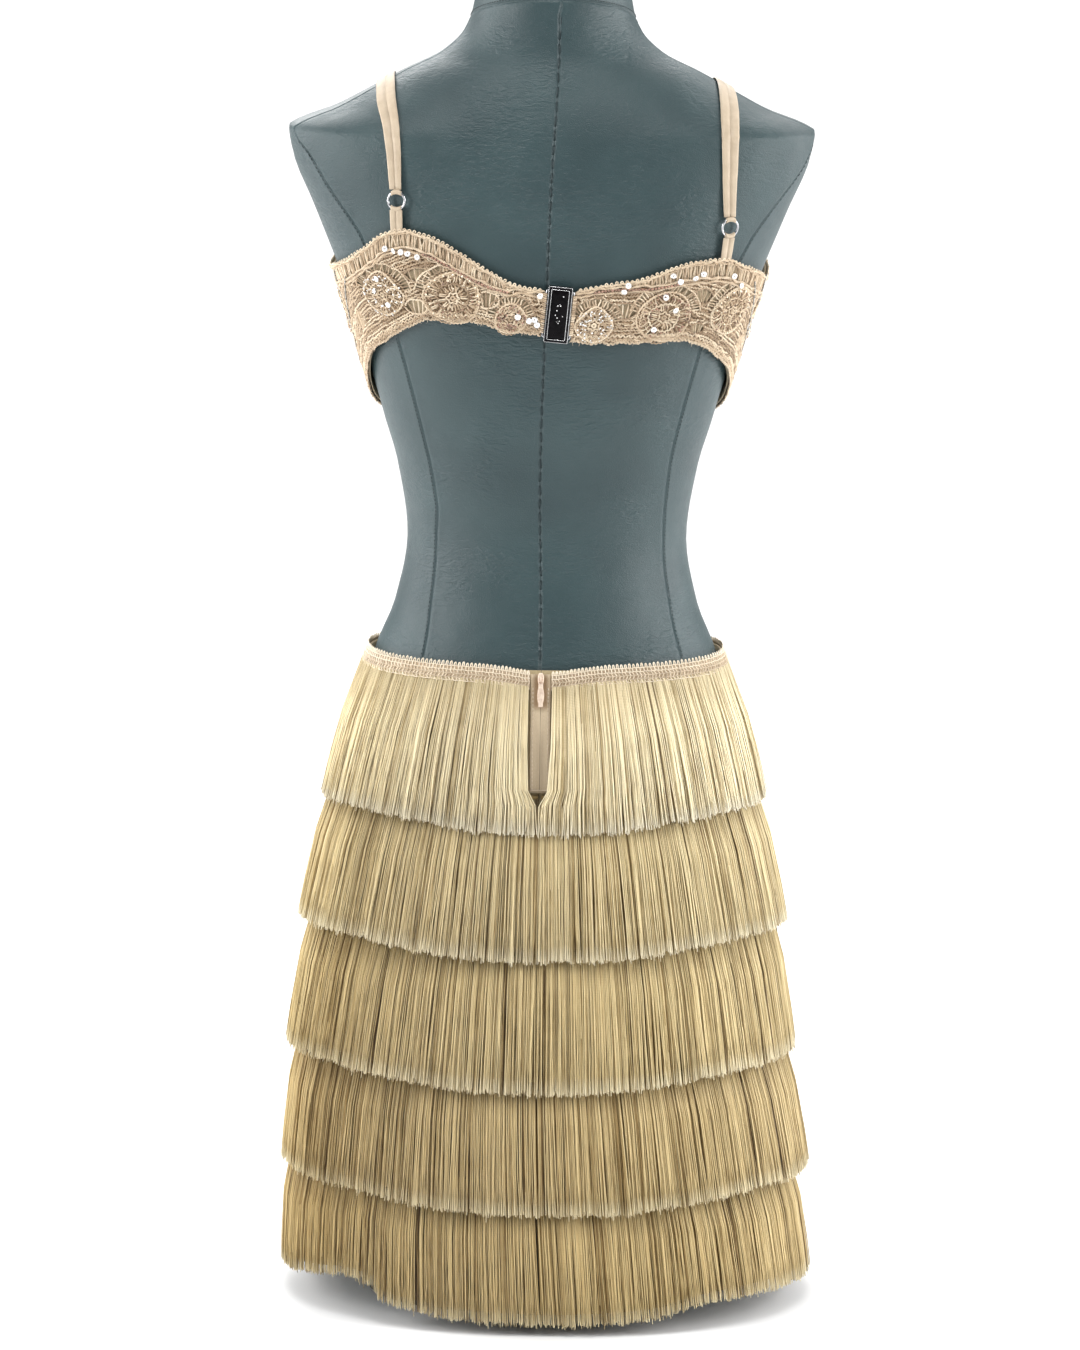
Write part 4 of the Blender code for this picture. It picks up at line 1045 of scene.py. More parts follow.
def at_polar(centre, reach, turn):
    """The place at a distance and a direction in radians from a centre."""
    across = np.degrees(reach * np.cos(turn) / form_radius(centre[0], centre[1]))
    return centre[0] + across, centre[1] + reach * np.sin(turn)


def in_rosette(panel, angle, height, grow=0.6):
    found = np.zeros(np.shape(angle), bool)
    for a, h, radius in panel.rosettes:
        found |= away((a, h), angle, height)[0] < radius + grow
    return found


def in_gap(panel, angle, height, grow=0.0):
    found = np.zeros(np.shape(angle), bool)
    for a, h, width, tall in panel.gaps:
        across = np.radians(angle - a) * form_radius(a, h)
        share = (across / (width / 2 + grow)) ** 2 + ((height - h) / (tall / 2 + grow)) ** 2
        found |= share < 1
    return found & ~in_rosette(panel, angle, height, 0.0)


def in_arc(panel, angle, height):
    """The zone of short bars round the upper half of each rosette."""
    found = np.zeros(np.shape(angle), bool)
    for a, h, radius in panel.rosettes:
        far, turn = away((a, h), angle, height)
        found |= (far > radius + 0.6) & (far < radius + ARC_REACH) & (turn > 12) & (turn < 168)
    return found & ~in_rosette(panel, angle, height)


def is_open(panel, angle, height):
    """Where the close ground of the lace is left out."""
    depth = panel.top(angle) - height
    ladder = panel.ladder(angle)
    bars = (depth > 0.8) & (depth < ladder + 0.8) & (ladder > 2.5)
    below_cord = depth > ladder + CORD_DEPTH
    above_band = height - panel.bottom(angle) > LOWER_BAND
    return bars | (below_cord & above_band & (in_arc(panel, angle, height) | in_gap(panel, angle, height)))


def lace_offset(panel, angle, height):
    """Outer face of the ground: it rises over each rosette."""
    rise = np.zeros(np.shape(angle))
    for a, h, radius in panel.rosettes:
        share = away((a, h), angle, height)[0] / radius
        dome = np.clip(1 - share ** 2, 0, 1) ** 0.5 * 0.6 + 0.4 * np.exp(-(((share - 0.82) / 0.16) ** 2))
        rise = np.maximum(rise, np.where(share < 1.15, dome, 0.0))
    return LACE_OFFSET + GROUND_THICKNESS + ROSETTE_RISE * rise


def panel_grid(panel, columns, rows, margin=0.0):
    """Own angles and heights over a panel."""
    angles = np.linspace(panel.low, panel.high, columns + 1)[:, None]
    share = np.linspace(0, 1, rows + 1)[None, :]
    bottom, top = panel.bottom(angles) + margin, panel.top(angles) - margin
    heights = bottom + (top - bottom) * share
    return np.broadcast_to(angles, heights.shape), heights


def midriff_grid(columns, rows, margin=0.0):
    share = np.linspace(-1, 1, columns + 1)[:, None]
    level = np.linspace(0, 1, rows + 1)[None, :]
    angles = 180 + share * MIDRIFF_WIDTHS.read("half_angle", 650) + 0 * level
    for _ in range(3):
        low = MIDRIFF.bottom(angles) + margin
        heights = low + (MIDRIFF.top(angles) - margin - low) * level
        angles = 180 + share * (MIDRIFF_WIDTHS.read("half_angle", heights) - margin / 2)
    return angles, heights


def resampled(angles, heights, panel, step):
    """The same line with points an even step apart, and the distance along it."""
    points = panel.point(angles, heights, LACE_OFFSET)
    run = np.concatenate([[0], np.cumsum(np.linalg.norm(np.diff(points, axis=0), axis=-1))])
    count = max(3, round(run[-1] / step) + 1)
    at = np.linspace(0, run[-1], count)
    return np.interp(at, run, angles), np.interp(at, run, heights), at


class Crochet:
    """Lays cords, bars and rings of thread on one panel."""

    def __init__(self, panel, rng, step=0.65, sides=5):
        self.panel = panel
        self.rng = rng
        self.step = step
        self.sides = sides
        self.shape = Shape()

    def lay(self, angles, heights, offsets, radius, shade, closed=False, sides=None):
        points = self.panel.point(angles, heights, offsets)
        up = self.panel.normal(angles, heights)
        tubes(self.shape, points[None], up[None], radius, sides or self.sides, closed, np.array([shade]))

    def tone(self, middle=0.52, spread=0.34):
        return middle + self.rng.uniform(-spread, spread)

    def cord(self, angles, heights, radius, lift=0.0, wave=0.3, period=2.4, shade=None):
        """A cord along a line of places, with the small waves of its stitches."""
        angles, heights, run = resampled(angles, heights, self.panel, self.step)
        phase = self.rng.uniform(0, 2 * math.pi)
        turn = 2 * math.pi * run / period + phase
        offsets = lace_offset(self.panel, angles, heights) + lift + 0.25 * radius * np.cos(turn)
        knots = np.arange(0, run[-1] + 8, 4.0)
        drift = np.interp(run, knots, self.rng.normal(0, 0.5, len(knots)))
        heights = heights + wave * np.sin(turn) + drift
        size = radius * (1 + 0.2 * np.cos(2 * turn)) + self.rng.normal(0, 0.04, len(run))
        ends = np.minimum(1.0, np.minimum(run, run[-1] - run) / 0.8 + 0.35)
        shade = self.tone() if shade is None else shade
        self.lay(angles, heights, offsets, np.maximum(size, 0.2)[None] * ends, shade)

    def ring(self, centre, reach, radius, wave=0.35, period=2.4, lift=0.2, shade=None, roundness=2.0):
        """A ring of stitches round a rosette's centre: round, or nearer to a diamond below 2."""
        waves = max(5, round(2 * math.pi * reach / period))
        count = max(14, round(2 * math.pi * reach / self.step))
        turn = 2 * math.pi * np.arange(count) / count
        phase = self.rng.uniform(0, 2 * math.pi)
        ripple = np.sin(waves * turn + phase)
        drift = 0.05 * reach * np.sin(3 * turn + phase) * (wave > 0)
        reach = reach * lobed(turn, roundness) + wave * ripple + drift
        angles, heights = at_polar(centre, reach, turn)
        offsets = lace_offset(self.panel, angles, heights) + lift + 0.3 * radius * np.cos(waves * turn + phase)
        size = radius * (1 + 0.18 * np.cos(2 * waves * turn))
        self.lay(angles, heights, offsets, size[None], self.tone() if shade is None else shade, closed=True)

    def bar(self, start, end, radius, lift=0.0, bow=0.0, shade=None):
        """A short thread from one place to another, bowed to one side."""
        share = np.linspace(0, 1, 5)
        angles = start[0] + (end[0] - start[0]) * share
        heights = start[1] + (end[1] - start[1]) * share
        scale = float(form_radius(start[0], start[1]))
        curl = self.rng.normal(0, 0.28)
        aside = bow * np.sin(math.pi * share) + curl * np.sin(2 * math.pi * share)
        angles = angles + np.degrees(aside / scale)
        offsets = np.maximum(LACE_OFFSET + 0.7, lace_offset(self.panel, angles, heights) - 0.55)
        offsets = offsets + lift + 0.3 * np.sin(math.pi * share)
        size = radius * (1 + 0.14 * np.cos(share * 9 + self.rng.uniform(0, 6)))
        self.lay(angles, heights, offsets, size[None], self.tone(0.55) if shade is None else shade, sides=4)


def lobed(turn, roundness):
    """Reach of a superellipse in a direction, 1 along its axes."""
    return (np.abs(np.cos(turn)) ** roundness + np.abs(np.sin(turn)) ** roundness) ** (-1 / roundness)


def edge_line(panel, height_of):
    """Points of a line that runs the whole width of a panel."""
    angles = np.linspace(panel.low, panel.high, 260)
    return angles, height_of(angles)


def lay_top_edge(work):
    """Two cords along the top edge, with a picot knot every few stitches."""
    panel = work.panel
    angles, heights = edge_line(panel, lambda a: panel.top(a) - 0.7)
    work.cord(angles, heights, 0.85, 0.2, 0.35, 4.6, 0.62)
    angles, heights = edge_line(panel, lambda a: panel.top(a) - 2.0)
    work.cord(angles, heights, 0.7, -0.1, 0.3, 3.0, 0.5)
    places, heights, _ = resampled(*edge_line(panel, panel.top), panel, 3.9)
    for angle, height in zip(places[1:-1], heights[1:-1]):
        knot = (angle, height + work.rng.uniform(0.1, 0.9))
        work.ring(knot, 0.85, 0.48, 0.0, 2.4, -0.2, work.tone(0.8, 0.15))


def lay_ladder(work, pitch=2.35):
    """Upright bars under the top edge, laid as pairs of strands."""
    panel = work.panel
    places, _, _ = resampled(*edge_line(panel, lambda a: panel.top(a) - 6), panel, pitch)
    for angle in places[1:-1]:
        depth = float(panel.ladder(angle))
        if depth < 2.5:
            continue
        top = float(panel.top(angle))
        lean = work.rng.uniform(-0.25, 0.25)
        bow = work.rng.uniform(-0.5, 0.5)
        for strand in (-0.32, 0.32):
            shift = math.degrees(strand / float(form_radius(angle, top)))
            start = (angle + shift, top - 1.0)
            end = (angle + shift + lean, top - depth - 1.4)
            work.bar(start, end, 0.46, 0.0, bow)


def lay_double_cord(work):
    """The double ribbed cord under the ladder."""
    panel = work.panel
    for depth, shade in ((1.4, 0.6), (4.3, 0.55)):
        angles, heights = edge_line(panel, lambda a: panel.top(a) - np.maximum(panel.ladder(a), 0.6) - depth)
        work.cord(angles, heights, 0.95, 0.35, 0.35, 1.9, shade)
    angles, heights = edge_line(panel, lambda a: panel.top(a) - np.maximum(panel.ladder(a), 0.6) - 2.85)
    work.cord(angles, heights, 0.55, 0.0, 0.2, 1.9, 0.3)


def lay_lower_edge(work):
    """Ropey cords along the lower edge."""
    panel = work.panel
    for rise, radius, lift in ((0.6, 0.8, 0.0), (2.2, 0.75, 0.3), (3.7, 0.7, 0.1), (5.2, 0.65, 0.3)):
        angles, heights = edge_line(panel, lambda a: panel.bottom(a) + rise)
        work.cord(angles, heights, radius, lift, 0.85, 3.1 + 0.2 * rise)


def lay_fuzz(shape, panel, rng, count):
    """Fine loose fibres along both edges."""
    angle = rng.uniform(panel.low, panel.high, count)
    upper = rng.random(count) < 0.35
    height = np.where(upper, panel.top(angle) - 0.5, panel.bottom(angle) + rng.uniform(0, 3.0, count))
    reach = rng.uniform(0.8, 3.0, count)
    turn = rng.uniform(0, 2 * math.pi, count)
    share = np.array([0.0, 0.5, 1.0])
    angles = angle[:, None] + np.degrees(reach * np.cos(turn) / 130)[:, None] * share
    heights = height[:, None] + (reach * np.sin(turn))[:, None] * share ** 1.4
    offsets = LACE_OFFSET + 1.2 + (rng.uniform(0.4, 2.0, count))[:, None] * share
    points = panel.point(angles, heights, offsets)
    radius = 0.19 * (1 - 0.6 * share)
    tubes(shape, points, panel.normal(angles, heights), radius[None], 3, shade=rng.uniform(0.6, 1.0, count))


def lay_rosette(work, rosette, roundness=2.0):
    """A knob, a ring of petals, spokes over the ground's painted shade, and heavier rings at the rim."""
    a, h, radius = rosette
    centre = (a, h)
    work.ring(centre, 1.3, 0.85, 0.2, 2.0, 0.5)
    work.ring(centre, 3.7, 0.7, 0.7, 3.9, 0.35, work.tone(0.7, 0.15))
    zones = ((5.0, 0.52 * radius), (0.56 * radius + 1.0, radius - 1.6))
    for low, high in zones:
        if high - low < 1.2:
            continue
        count = max(9, round(2 * math.pi * (low + high) / 2 / 2.0))
        for turn in 2 * math.pi * (np.arange(count) + work.rng.uniform(0, 1)) / count:
            lobe = float(lobed(turn, roundness))
            start = at_polar(centre, low * lobe, turn + work.rng.normal(0, 0.06))
            reach = (high + work.rng.uniform(-0.5, 0.5)) * lobe
            end = at_polar(centre, reach, turn + work.rng.normal(0, 0.09))
            work.bar(start, end, work.rng.uniform(0.42, 0.62), 0.45, work.rng.normal(0, 0.3))
    work.ring(centre, 0.54 * radius + 0.5, 0.7, 0.55, 3.1, 0.35, roundness=roundness)
    work.ring(centre, radius - 1.4, 0.6, 0.6, 2.7, 0.2, roundness=roundness)
    work.ring(centre, radius - 0.1, 0.85, 0.4, 2.3, 0.35, work.tone(0.7, 0.12), roundness)
    work.ring(centre, radius + 1.1, 0.6, 0.45, 3.0, -0.4, roundness=roundness)


def lay_arcs(work, rosette, pitch=2.1):
    """Short bars like spokes round the upper half of a rosette."""
    panel = work.panel
    a, h, radius = rosette
    count = round(math.radians(150) * (radius + 3) / pitch)
    for turn in np.radians(np.linspace(14, 166, count)):
        start = at_polar((a, h), radius + 0.4, turn)
        end = at_polar((a, h), radius + ARC_REACH, turn + work.rng.uniform(-0.05, 0.05))
        middle = at_polar((a, h), radius + ARC_REACH / 2, turn)
        if not (panel.inside(*middle) and is_open(panel, *[np.array(v) for v in middle])):
            continue
        ceiling = float(panel.top(end[0]) - panel.ladder(end[0])) - CORD_DEPTH + 0.4
        end = (end[0], min(end[1], ceiling))
        work.bar(start, end, 0.55, 0.1, work.rng.uniform(-0.3, 0.3))
    turn = np.radians(np.linspace(10, 170, 90))
    angles, heights = at_polar((a, h), radius + ARC_REACH, turn)
    ceiling = panel.top(angles) - panel.ladder(angles) - CORD_DEPTH
    lay_runs(work, angles, heights, (heights < ceiling) & ~in_rosette(panel, angles, heights, 1.0), 0.7, 0.1)


def lay_runs(work, angles, heights, wanted, radius, lift, wave=0.4, period=2.3):
    """Cords along those stretches of a line that are wanted and inside the panel."""
    wanted = wanted & work.panel.inside(angles, heights)
    edges = np.flatnonzero(np.diff(np.concatenate([[0], wanted.astype(int), [0]])))
    for start, end in zip(edges[::2], edges[1::2]):
        if end - start > 4:
            work.cord(angles[start:end], heights[start:end], radius, lift, wave, period)


def lay_gaps(work):
    """A cord round each open gap, and a few threads drawn across it."""
    panel = work.panel
    for a, h, width, tall in panel.gaps:
        turn = np.linspace(0, 2 * math.pi, 60)
        across = np.degrees((width / 2 + 0.2) * np.cos(turn) / form_radius(a, h))
        angles, heights = a + across, h + (tall / 2 + 0.2) * np.sin(turn)
        lay_runs(work, angles, heights, ~in_rosette(panel, angles, heights, 0.4), 0.72, 0.1, 0.3)
        for share in (-0.42, -0.12, 0.14, 0.45):
            foot = a + math.degrees(share * width * 0.45 / float(form_radius(a, h)))
            head = a + math.degrees(share * width * 0.95 / float(form_radius(a, h)))
            work.bar((head, h + tall * 0.56), (foot, h - tall * 0.56), 0.5, 0.1, work.rng.uniform(-0.6, 0.6))


def lay_rows(work, pitch, radius):
    """Rows of stitches that fill the close ground between the motifs."""
    panel = work.panel
    angles = np.linspace(panel.low, panel.high, 420)
    tallest = float((panel.top(angles) - panel.bottom(angles)).max())
    for rise in np.arange(LOWER_BAND + 1.2, tallest, pitch):
        heights = panel.bottom(angles) + rise
        below = heights < panel.top(angles) - np.maximum(panel.ladder(angles), 0.6) - CORD_DEPTH - 0.6
        closed = ~is_open(panel, angles, heights) & ~in_rosette(panel, angles, heights, 0.6)
        lay_runs(work, angles, heights, below & closed, radius, 0.0, 0.5, 2.5)


def bead_ball():
    """A ball of 32 triangles: an octahedron with each side split once."""
    corners = [(1, 0, 0), (-1, 0, 0), (0, 1, 0), (0, -1, 0), (0, 0, 1), (0, 0, -1)]
    points = [np.array(c, float) for c in corners]
    found = {}
    faces = []

    def middle(i, j):
        key = (min(i, j), max(i, j))
        if key not in found:
            found[key] = len(points)
            points.append(unit(points[i] + points[j]))
        return found[key]

    for i in (0, 1):
        for j in (2, 3):
            for k in (4, 5):
                ij, jk, ki = middle(i, j), middle(j, k), middle(k, i)
                faces += [(i, ij, ki), (ij, j, jk), (ki, jk, k), (ij, jk, ki)]
    points = np.array(points)
    turned = []
    for face in faces:
        a, b, c = points[list(face)]
        turned.append(face if np.dot(np.cross(b - a, c - a), a + b + c) > 0 else face[::-1])
    return points, np.array(turned)


BALL_POINTS, BALL_FACES = bead_ball()


def add_beads(shape, centres, radius, shade):
    count = len(centres)
    points = centres[:, None, :] + np.broadcast_to(radius, (count,))[:, None, None] * BALL_POINTS
    faces = BALL_FACES[None] + (np.arange(count) * len(BALL_POINTS))[:, None, None]
    shape.add(points, [faces], shade=np.broadcast_to(shade, (count,))[:, None])


def add_spangles(shape, centres, normals, rng, radius=2.3):
    """Cupped discs with a centre hole, each tilted its own way."""
    sides = 12
    turn = 2 * np.pi * np.arange(sides) / sides
    profile = ((radius, 0.42), (0.45, 0.0), (0.45, -0.22), (radius, 0.2))
    for centre, normal in zip(centres, normals):
        axis = unit(normal + rng.normal(0, 0.22, 3))
        across = unit(np.cross(axis, (0.31, 0.2, 0.93)))
        other = np.cross(axis, across)
        spoke = np.cos(turn)[:, None] * across + np.sin(turn)[:, None] * other
        rings = np.array([centre + reach * spoke + lift * axis for reach, lift in profile])
        index = np.arange(4 * sides).reshape(4, sides)
        near, far = index, np.roll(index, -1, axis=0)
        quads = np.stack([near, far, np.roll(far, -1, axis=1), np.roll(near, -1, axis=1)], -1)
        shape.add(rings, [quads], shade=rng.uniform(0.55, 1.0))


def lay_crossings(work, count):
    """Short loose stitches over the close ground, each its own way."""
    panel, rng = work.panel, work.rng
    angles = rng.uniform(panel.low, panel.high, count)
    room = panel.top(angles) - panel.bottom(angles) - 5
    heights = rng.uniform(0, 1, count) * room + panel.bottom(angles) + 1.5
    wanted = ~is_open(panel, angles, heights) & panel.inside(angles, heights)
    for angle, height in zip(angles[wanted], heights[wanted]):
        turn, reach = rng.uniform(0, math.pi), rng.uniform(1.0, 2.2)
        start, end = at_polar((angle, height), reach, turn), at_polar((angle, height), reach, turn + math.pi)
        work.bar(start, end, rng.uniform(0.32, 0.52), 0.7, rng.normal(0, 0.5))


def rosette_beads(panel, rosette, rng, count, low=0.3, high=0.95):
    a, h, radius = rosette
    reach = radius * np.sqrt(rng.uniform(low ** 2, high ** 2, count))
    angles, heights = at_polar((a, h), reach, rng.uniform(0, 2 * np.pi, count))
    kept = panel.inside(angles, heights)
    angles, heights = angles[kept], heights[kept]
    return panel.point(angles, heights, lace_offset(panel, angles, heights) + 1.25)


def line_beads(panel, places, pitch, lift=0.9):
    """Centres of beads strung along straight runs between places."""
    angles, heights = np.array(places, float).T
    angles, heights, _ = resampled(angles, heights, panel, pitch)
    return panel.point(angles, heights, lace_offset(panel, angles, heights) + lift)


BACK_LEFT_SPANGLES = (
    (56.2, 822),
    (54.0, 820.5),
    (52.0, 820),
    (50.2, 819),
    (47.6, 816.8),
    (59.5, 799),
    (57.5, 780),
    (61, 790),
    (4.8, 790),
    (13.2, 774),
    (8.5, 771),
    (6.2, 772),
    (5.0, 768),
    (86, 742),
)
BACK_RIGHT_SPANGLES = (
    (-28.5, 793.5),
    (-29.8, 798),
    (-44.3, 805),
    (-46.6, 800.5),
    (-51, 803),
    (-53.3, 806),
    (-62.7, 803.5),
    (-66, 796),
    (-46.2, 779.5),
    (-40.2, 765),
    (-42.5, 789.5),
    (-80, 760),
)
FRONT_SPANGLES = ((112, 752), (116, 740), (140, 742), (145, 728), (128, 806), (122, 812), (163, 738), (150, 789))
MIDRIFF_SPANGLES = ((177, 668), (184, 660), (182, 624), (177, 578), (183, 534))
SIDE_DIAMOND = ((72, 797), (76, 783), (83, 760), (88, 738))
SIDE_DIAMOND_BACK = ((79, 800), (84, 780), (88, 758))


def rim_beads(panel, rosette, count):
    """Centres of larger beads round the upper half of a rosette's rim."""
    a, h, radius = rosette
    angles, heights = at_polar((a, h), radius - 1.6, np.radians(np.linspace(8, 172, count)))
    return panel.point(angles, heights, lace_offset(panel, angles, heights) + 1.35)


def trim_panel(panel, seed, spangle_places, rosette_trims):
    """Spangles and seed beads sewn on one panel, with each rosette trimmed clear, gold or copper."""
    rng = np.random.default_rng(seed)
    spangles, seeds, darks, greys = Shape(), Shape(), Shape(), Shape()
    angles, heights = np.array(spangle_places, float).T
    centres = panel.point(angles, heights, lace_offset(panel, angles, heights) + 1.5)
    add_spangles(spangles, centres, panel.normal(angles, heights), rng)
    for trim, rosette in zip(rosette_trims, panel.rosettes):
        chosen, count = {"clear": (spangles, 58), "gold": (seeds, 30), "copper": (darks, 52)}[trim]
        centres = rosette_beads(panel, rosette, rng, count, 0.35, 0.98)
        add_beads(chosen, centres, rng.uniform(0.55, 0.85, len(centres)), rng.uniform(0.1, 1.0, len(centres)))
        if trim == "gold":
            add_beads(seeds, rim_beads(panel, rosette, 9), 0.95, rng.uniform(0.6, 1.0, 9))
            centres = rosette_beads(panel, rosette, rng, 34, 0.5, 1.0)
            add_beads(darks, centres, rng.uniform(0.4, 0.6, len(centres)), rng.uniform(0.1, 1.0, len(centres)))
    makers = [(spangles, "spangles", SPANGLE), (seeds, "beads", SEED_BEAD), (darks, "dark_beads", DARK_BEAD)]
    if panel in (BACK_LEFT, BACK_RIGHT):
        side = 1 if panel is BACK_LEFT else -1
        for places in (SIDE_DIAMOND, SIDE_DIAMOND_BACK):
            centres = line_beads(panel, [(side * a, h) for a, h in places], 1.9)
            add_beads(greys, centres, 0.75, rng.uniform(0.1, 1.0, len(centres)))
        centres = line_beads(panel, double_cord_places(panel, side), 2.5, 1.0)
        add_beads(darks, centres, 1.05, rng.uniform(0.3, 1.0, len(centres)))
        makers.append((greys, "grey_beads", GREY_BEAD))
    made = []
    for shape, word, material in makers:
        if shape.count:
            name = f"{word}_{panel.name}"
            made.append(add_piece(name, shape.mesh(name), material))
    return made


def double_cord_places(panel, side):
    """The stretch of the double cord that is strung with beads."""
    angles = side * np.linspace(18, 46, 40)
    heights = panel.top(angles) - np.maximum(panel.ladder(angles), 0.6) - 2.85
    return list(zip(angles, heights))


def make_ground(panel, grid_places, material=GROUND):
    """The close ground of a panel as a thin wall, open at its gaps, arcs and ladder."""
    angles, heights = grid_places
    middle_angles = (angles[:-1, :-1] + angles[1:, 1:]) / 2
    middle_heights = (heights[:-1, :-1] + heights[1:, 1:]) / 2
    keep = ~is_open(panel, middle_angles, middle_heights)
    grid = panel.point(angles, heights, lace_offset(panel, angles, heights) - GROUND_THICKNESS)
    if panel.side < 0:
        grid, keep = grid[::-1], keep[::-1]
    name = f"lace_{panel.name}"
    made = wall(name, grid, GROUND_THICKNESS, material, [f"crochet_{panel.name}"], keep)
    return made, grid, keep


def make_lining(panel, grid_places):
    angles, heights = grid_places
    grid = panel.point(angles, heights, LINING_OFFSET)
    if panel.side < 0:
        grid = grid[::-1]
    name = f"net_{panel.name}"
    made = wall(name, grid, LINING_THICKNESS, LINING, [f"lining_{panel.name}"])
    return made


def make_lace(panel, seed, cells_across, cells_up, detail, spangles, rosette_trims):
    """One bodice panel: lining, ground, threads and trimmings."""
    rng = np.random.default_rng(seed)
    step, sides, row_pitch, crossings = detail
    lining = make_lining(panel, panel_grid(panel, 40, 10, 1.0))
    ground, grid, keep = make_ground(panel, panel_grid(panel, cells_across, cells_up))
    work = Crochet(panel, rng, step, sides)
    lay_top_edge(work)
    lay_ladder(work)
    lay_double_cord(work)
    lay_lower_edge(work)
    for trim, rosette in zip(rosette_trims, panel.rosettes):
        lay_rosette(work, rosette, 1.5 if trim == "clear" else 2.0)
        lay_arcs(work, rosette)
    lay_gaps(work)
    lay_rows(work, row_pitch, 0.66)
    lay_crossings(work, crossings)
    lay_fuzz(work.shape, panel, rng, 420)
    name = f"crochet_threads_{panel.name}"
    threads = add_piece(name, work.shape.mesh(name), COTTON)
    trims = trim_panel(panel, seed + 1, spangles, rosette_trims)


def make_midriff():
    panel = MIDRIFF
    rng = np.random.default_rng(31)
    lining = make_lining(panel, midriff_grid(16, 40))
    ground, grid, keep = make_ground(panel, midriff_grid(38, 84))
    work = Crochet(panel, rng, 1.7, 4)
    for rosette in panel.rosettes:
        lay_rosette(work, rosette)
        lay_arcs(work, rosette, 2.5)
    lay_gaps(work)
    heights = np.linspace(WAIST_TOP + 1, 694, 240)
    for inset, radius in ((0.6, 0.95), (2.6, 0.85), (4.6, 0.75)):
        for sign in (-1, 1):
            half = MIDRIFF_WIDTHS.read("half_angle", heights) - np.degrees(inset / form_radius(180, heights))
            kept = heights < panel.top(180 + sign * half) - 1
            work.cord((180 + sign * half)[kept], heights[kept], radius, 0.1, 0.0)
    angles = np.linspace(150, 210, 300)
    for height in np.arange(WAIST_TOP + 3, 692, 3.3):
        level = 0 * angles + height
        half = MIDRIFF_WIDTHS.read("half_angle", level)
        inner = np.abs(angles - 180) < half - 3.2
        closed = ~is_open(panel, angles, level) & ~in_rosette(panel, angles, level, 0.8)
        lay_runs(work, angles, level, inner & closed, 0.8, 0.0, 0.5, 2.6)
    threads = add_piece(
        "crochet_threads_midriff", work.shape.mesh("crochet_threads_midriff"), COTTON
    )
    trims = trim_panel(panel, 32, MIDRIFF_SPANGLES, ("clear", "copper", "gold", "clear"))


# Straps, rings and tabs

def angle_at_x(x, height, behind):
    """The angle where the section at this height reaches x, on the back or the front half."""
    shape = np.broadcast_shapes(np.shape(x), np.shape(height))
    low = np.full(shape, 0.0 if behind else 180.0)
    high = np.full(shape, 90.0)
    for _ in range(30):
        middle = (low + high) / 2
        short = form_point(middle, height)[..., 0] < x
        low, high = np.where(short, middle, low), np.where(short, high, middle)
    return (low + high) / 2


def ridge_height(x):
    low = np.full(np.shape(x), float(SHOULDER_EDGE_HEIGHT))
    high = np.full(np.shape(x), float(NECK_BASE_HEIGHT))
    for _ in range(30):
        middle = (low + high) / 2
        wide = FORM.read("half_width", middle) > x
        low, high = np.where(wide, middle, low), np.where(wide, high, middle)
    return low


def strap_places(x, start, end, share):
    """Places on the curve over the shoulder at each x, at a share of its length."""
    climb = np.sin(np.pi / 2 * np.arange(33) / 32)
    ridge = ridge_height(x)[:, None]
    x = x[:, None]
    rising = start + (ridge - start) * climb
    falling = (end + (ridge - end) * climb)[:, ::-1][:, 1:]
    angles = np.concatenate([angle_at_x(x, rising, True), angle_at_x(x, falling, False)], 1)
    heights = np.concatenate([rising, falling], 1)
    points = form_point(angles, heights)
    run = np.cumsum(np.linalg.norm(np.diff(points, axis=1), axis=-1), 1)
    run = np.concatenate([np.zeros((len(run), 1)), run], 1)
    found = [
        (np.interp(s * r[-1], r, a), np.interp(s * r[-1], r, h)) for s, r, a, h in zip(share, run, angles, heights)
    ]
    return np.array(found).T


def strap_offset(share):
    at_ring = np.maximum(0.0, 1 - share / STRAP_RISE_SHARE)
    at_lace = np.maximum(0.0, 1 - (1 - share) / STRAP_RISE_SHARE)
    to_ring = RING_STAND_OFF - STRAP_THICKNESS / 2 - STRAP_OFFSET
    return STRAP_OFFSET + to_ring * at_ring + (LACE_OFFSET - STRAP_OFFSET) * at_lace


# Height of a strap's face across its width: two rolled edges and a groove down the middle.
STRAP_PROFILE = ((-1.0, 0.35), (-0.93, 0.85), (-0.75, 1.0), (-0.45, 0.9), (-0.1, 0.98), (0.0, 0.22))
STRAP_PROFILE += tuple((-across, lift) for across, lift in STRAP_PROFILE[-2::-1])


def ribbon(shape, centre_points, normals, thickness):
    """A satin ribbon on a grid of points, given as lines across its width."""
    lifts = np.array([lift for _, lift in STRAP_PROFILE])
    outer = centre_points + normals * (thickness * lifts)[None, :, None]
    inner = centre_points + normals * (0.05 * thickness)
    slab(shape, outer, inner, shade=0.5)


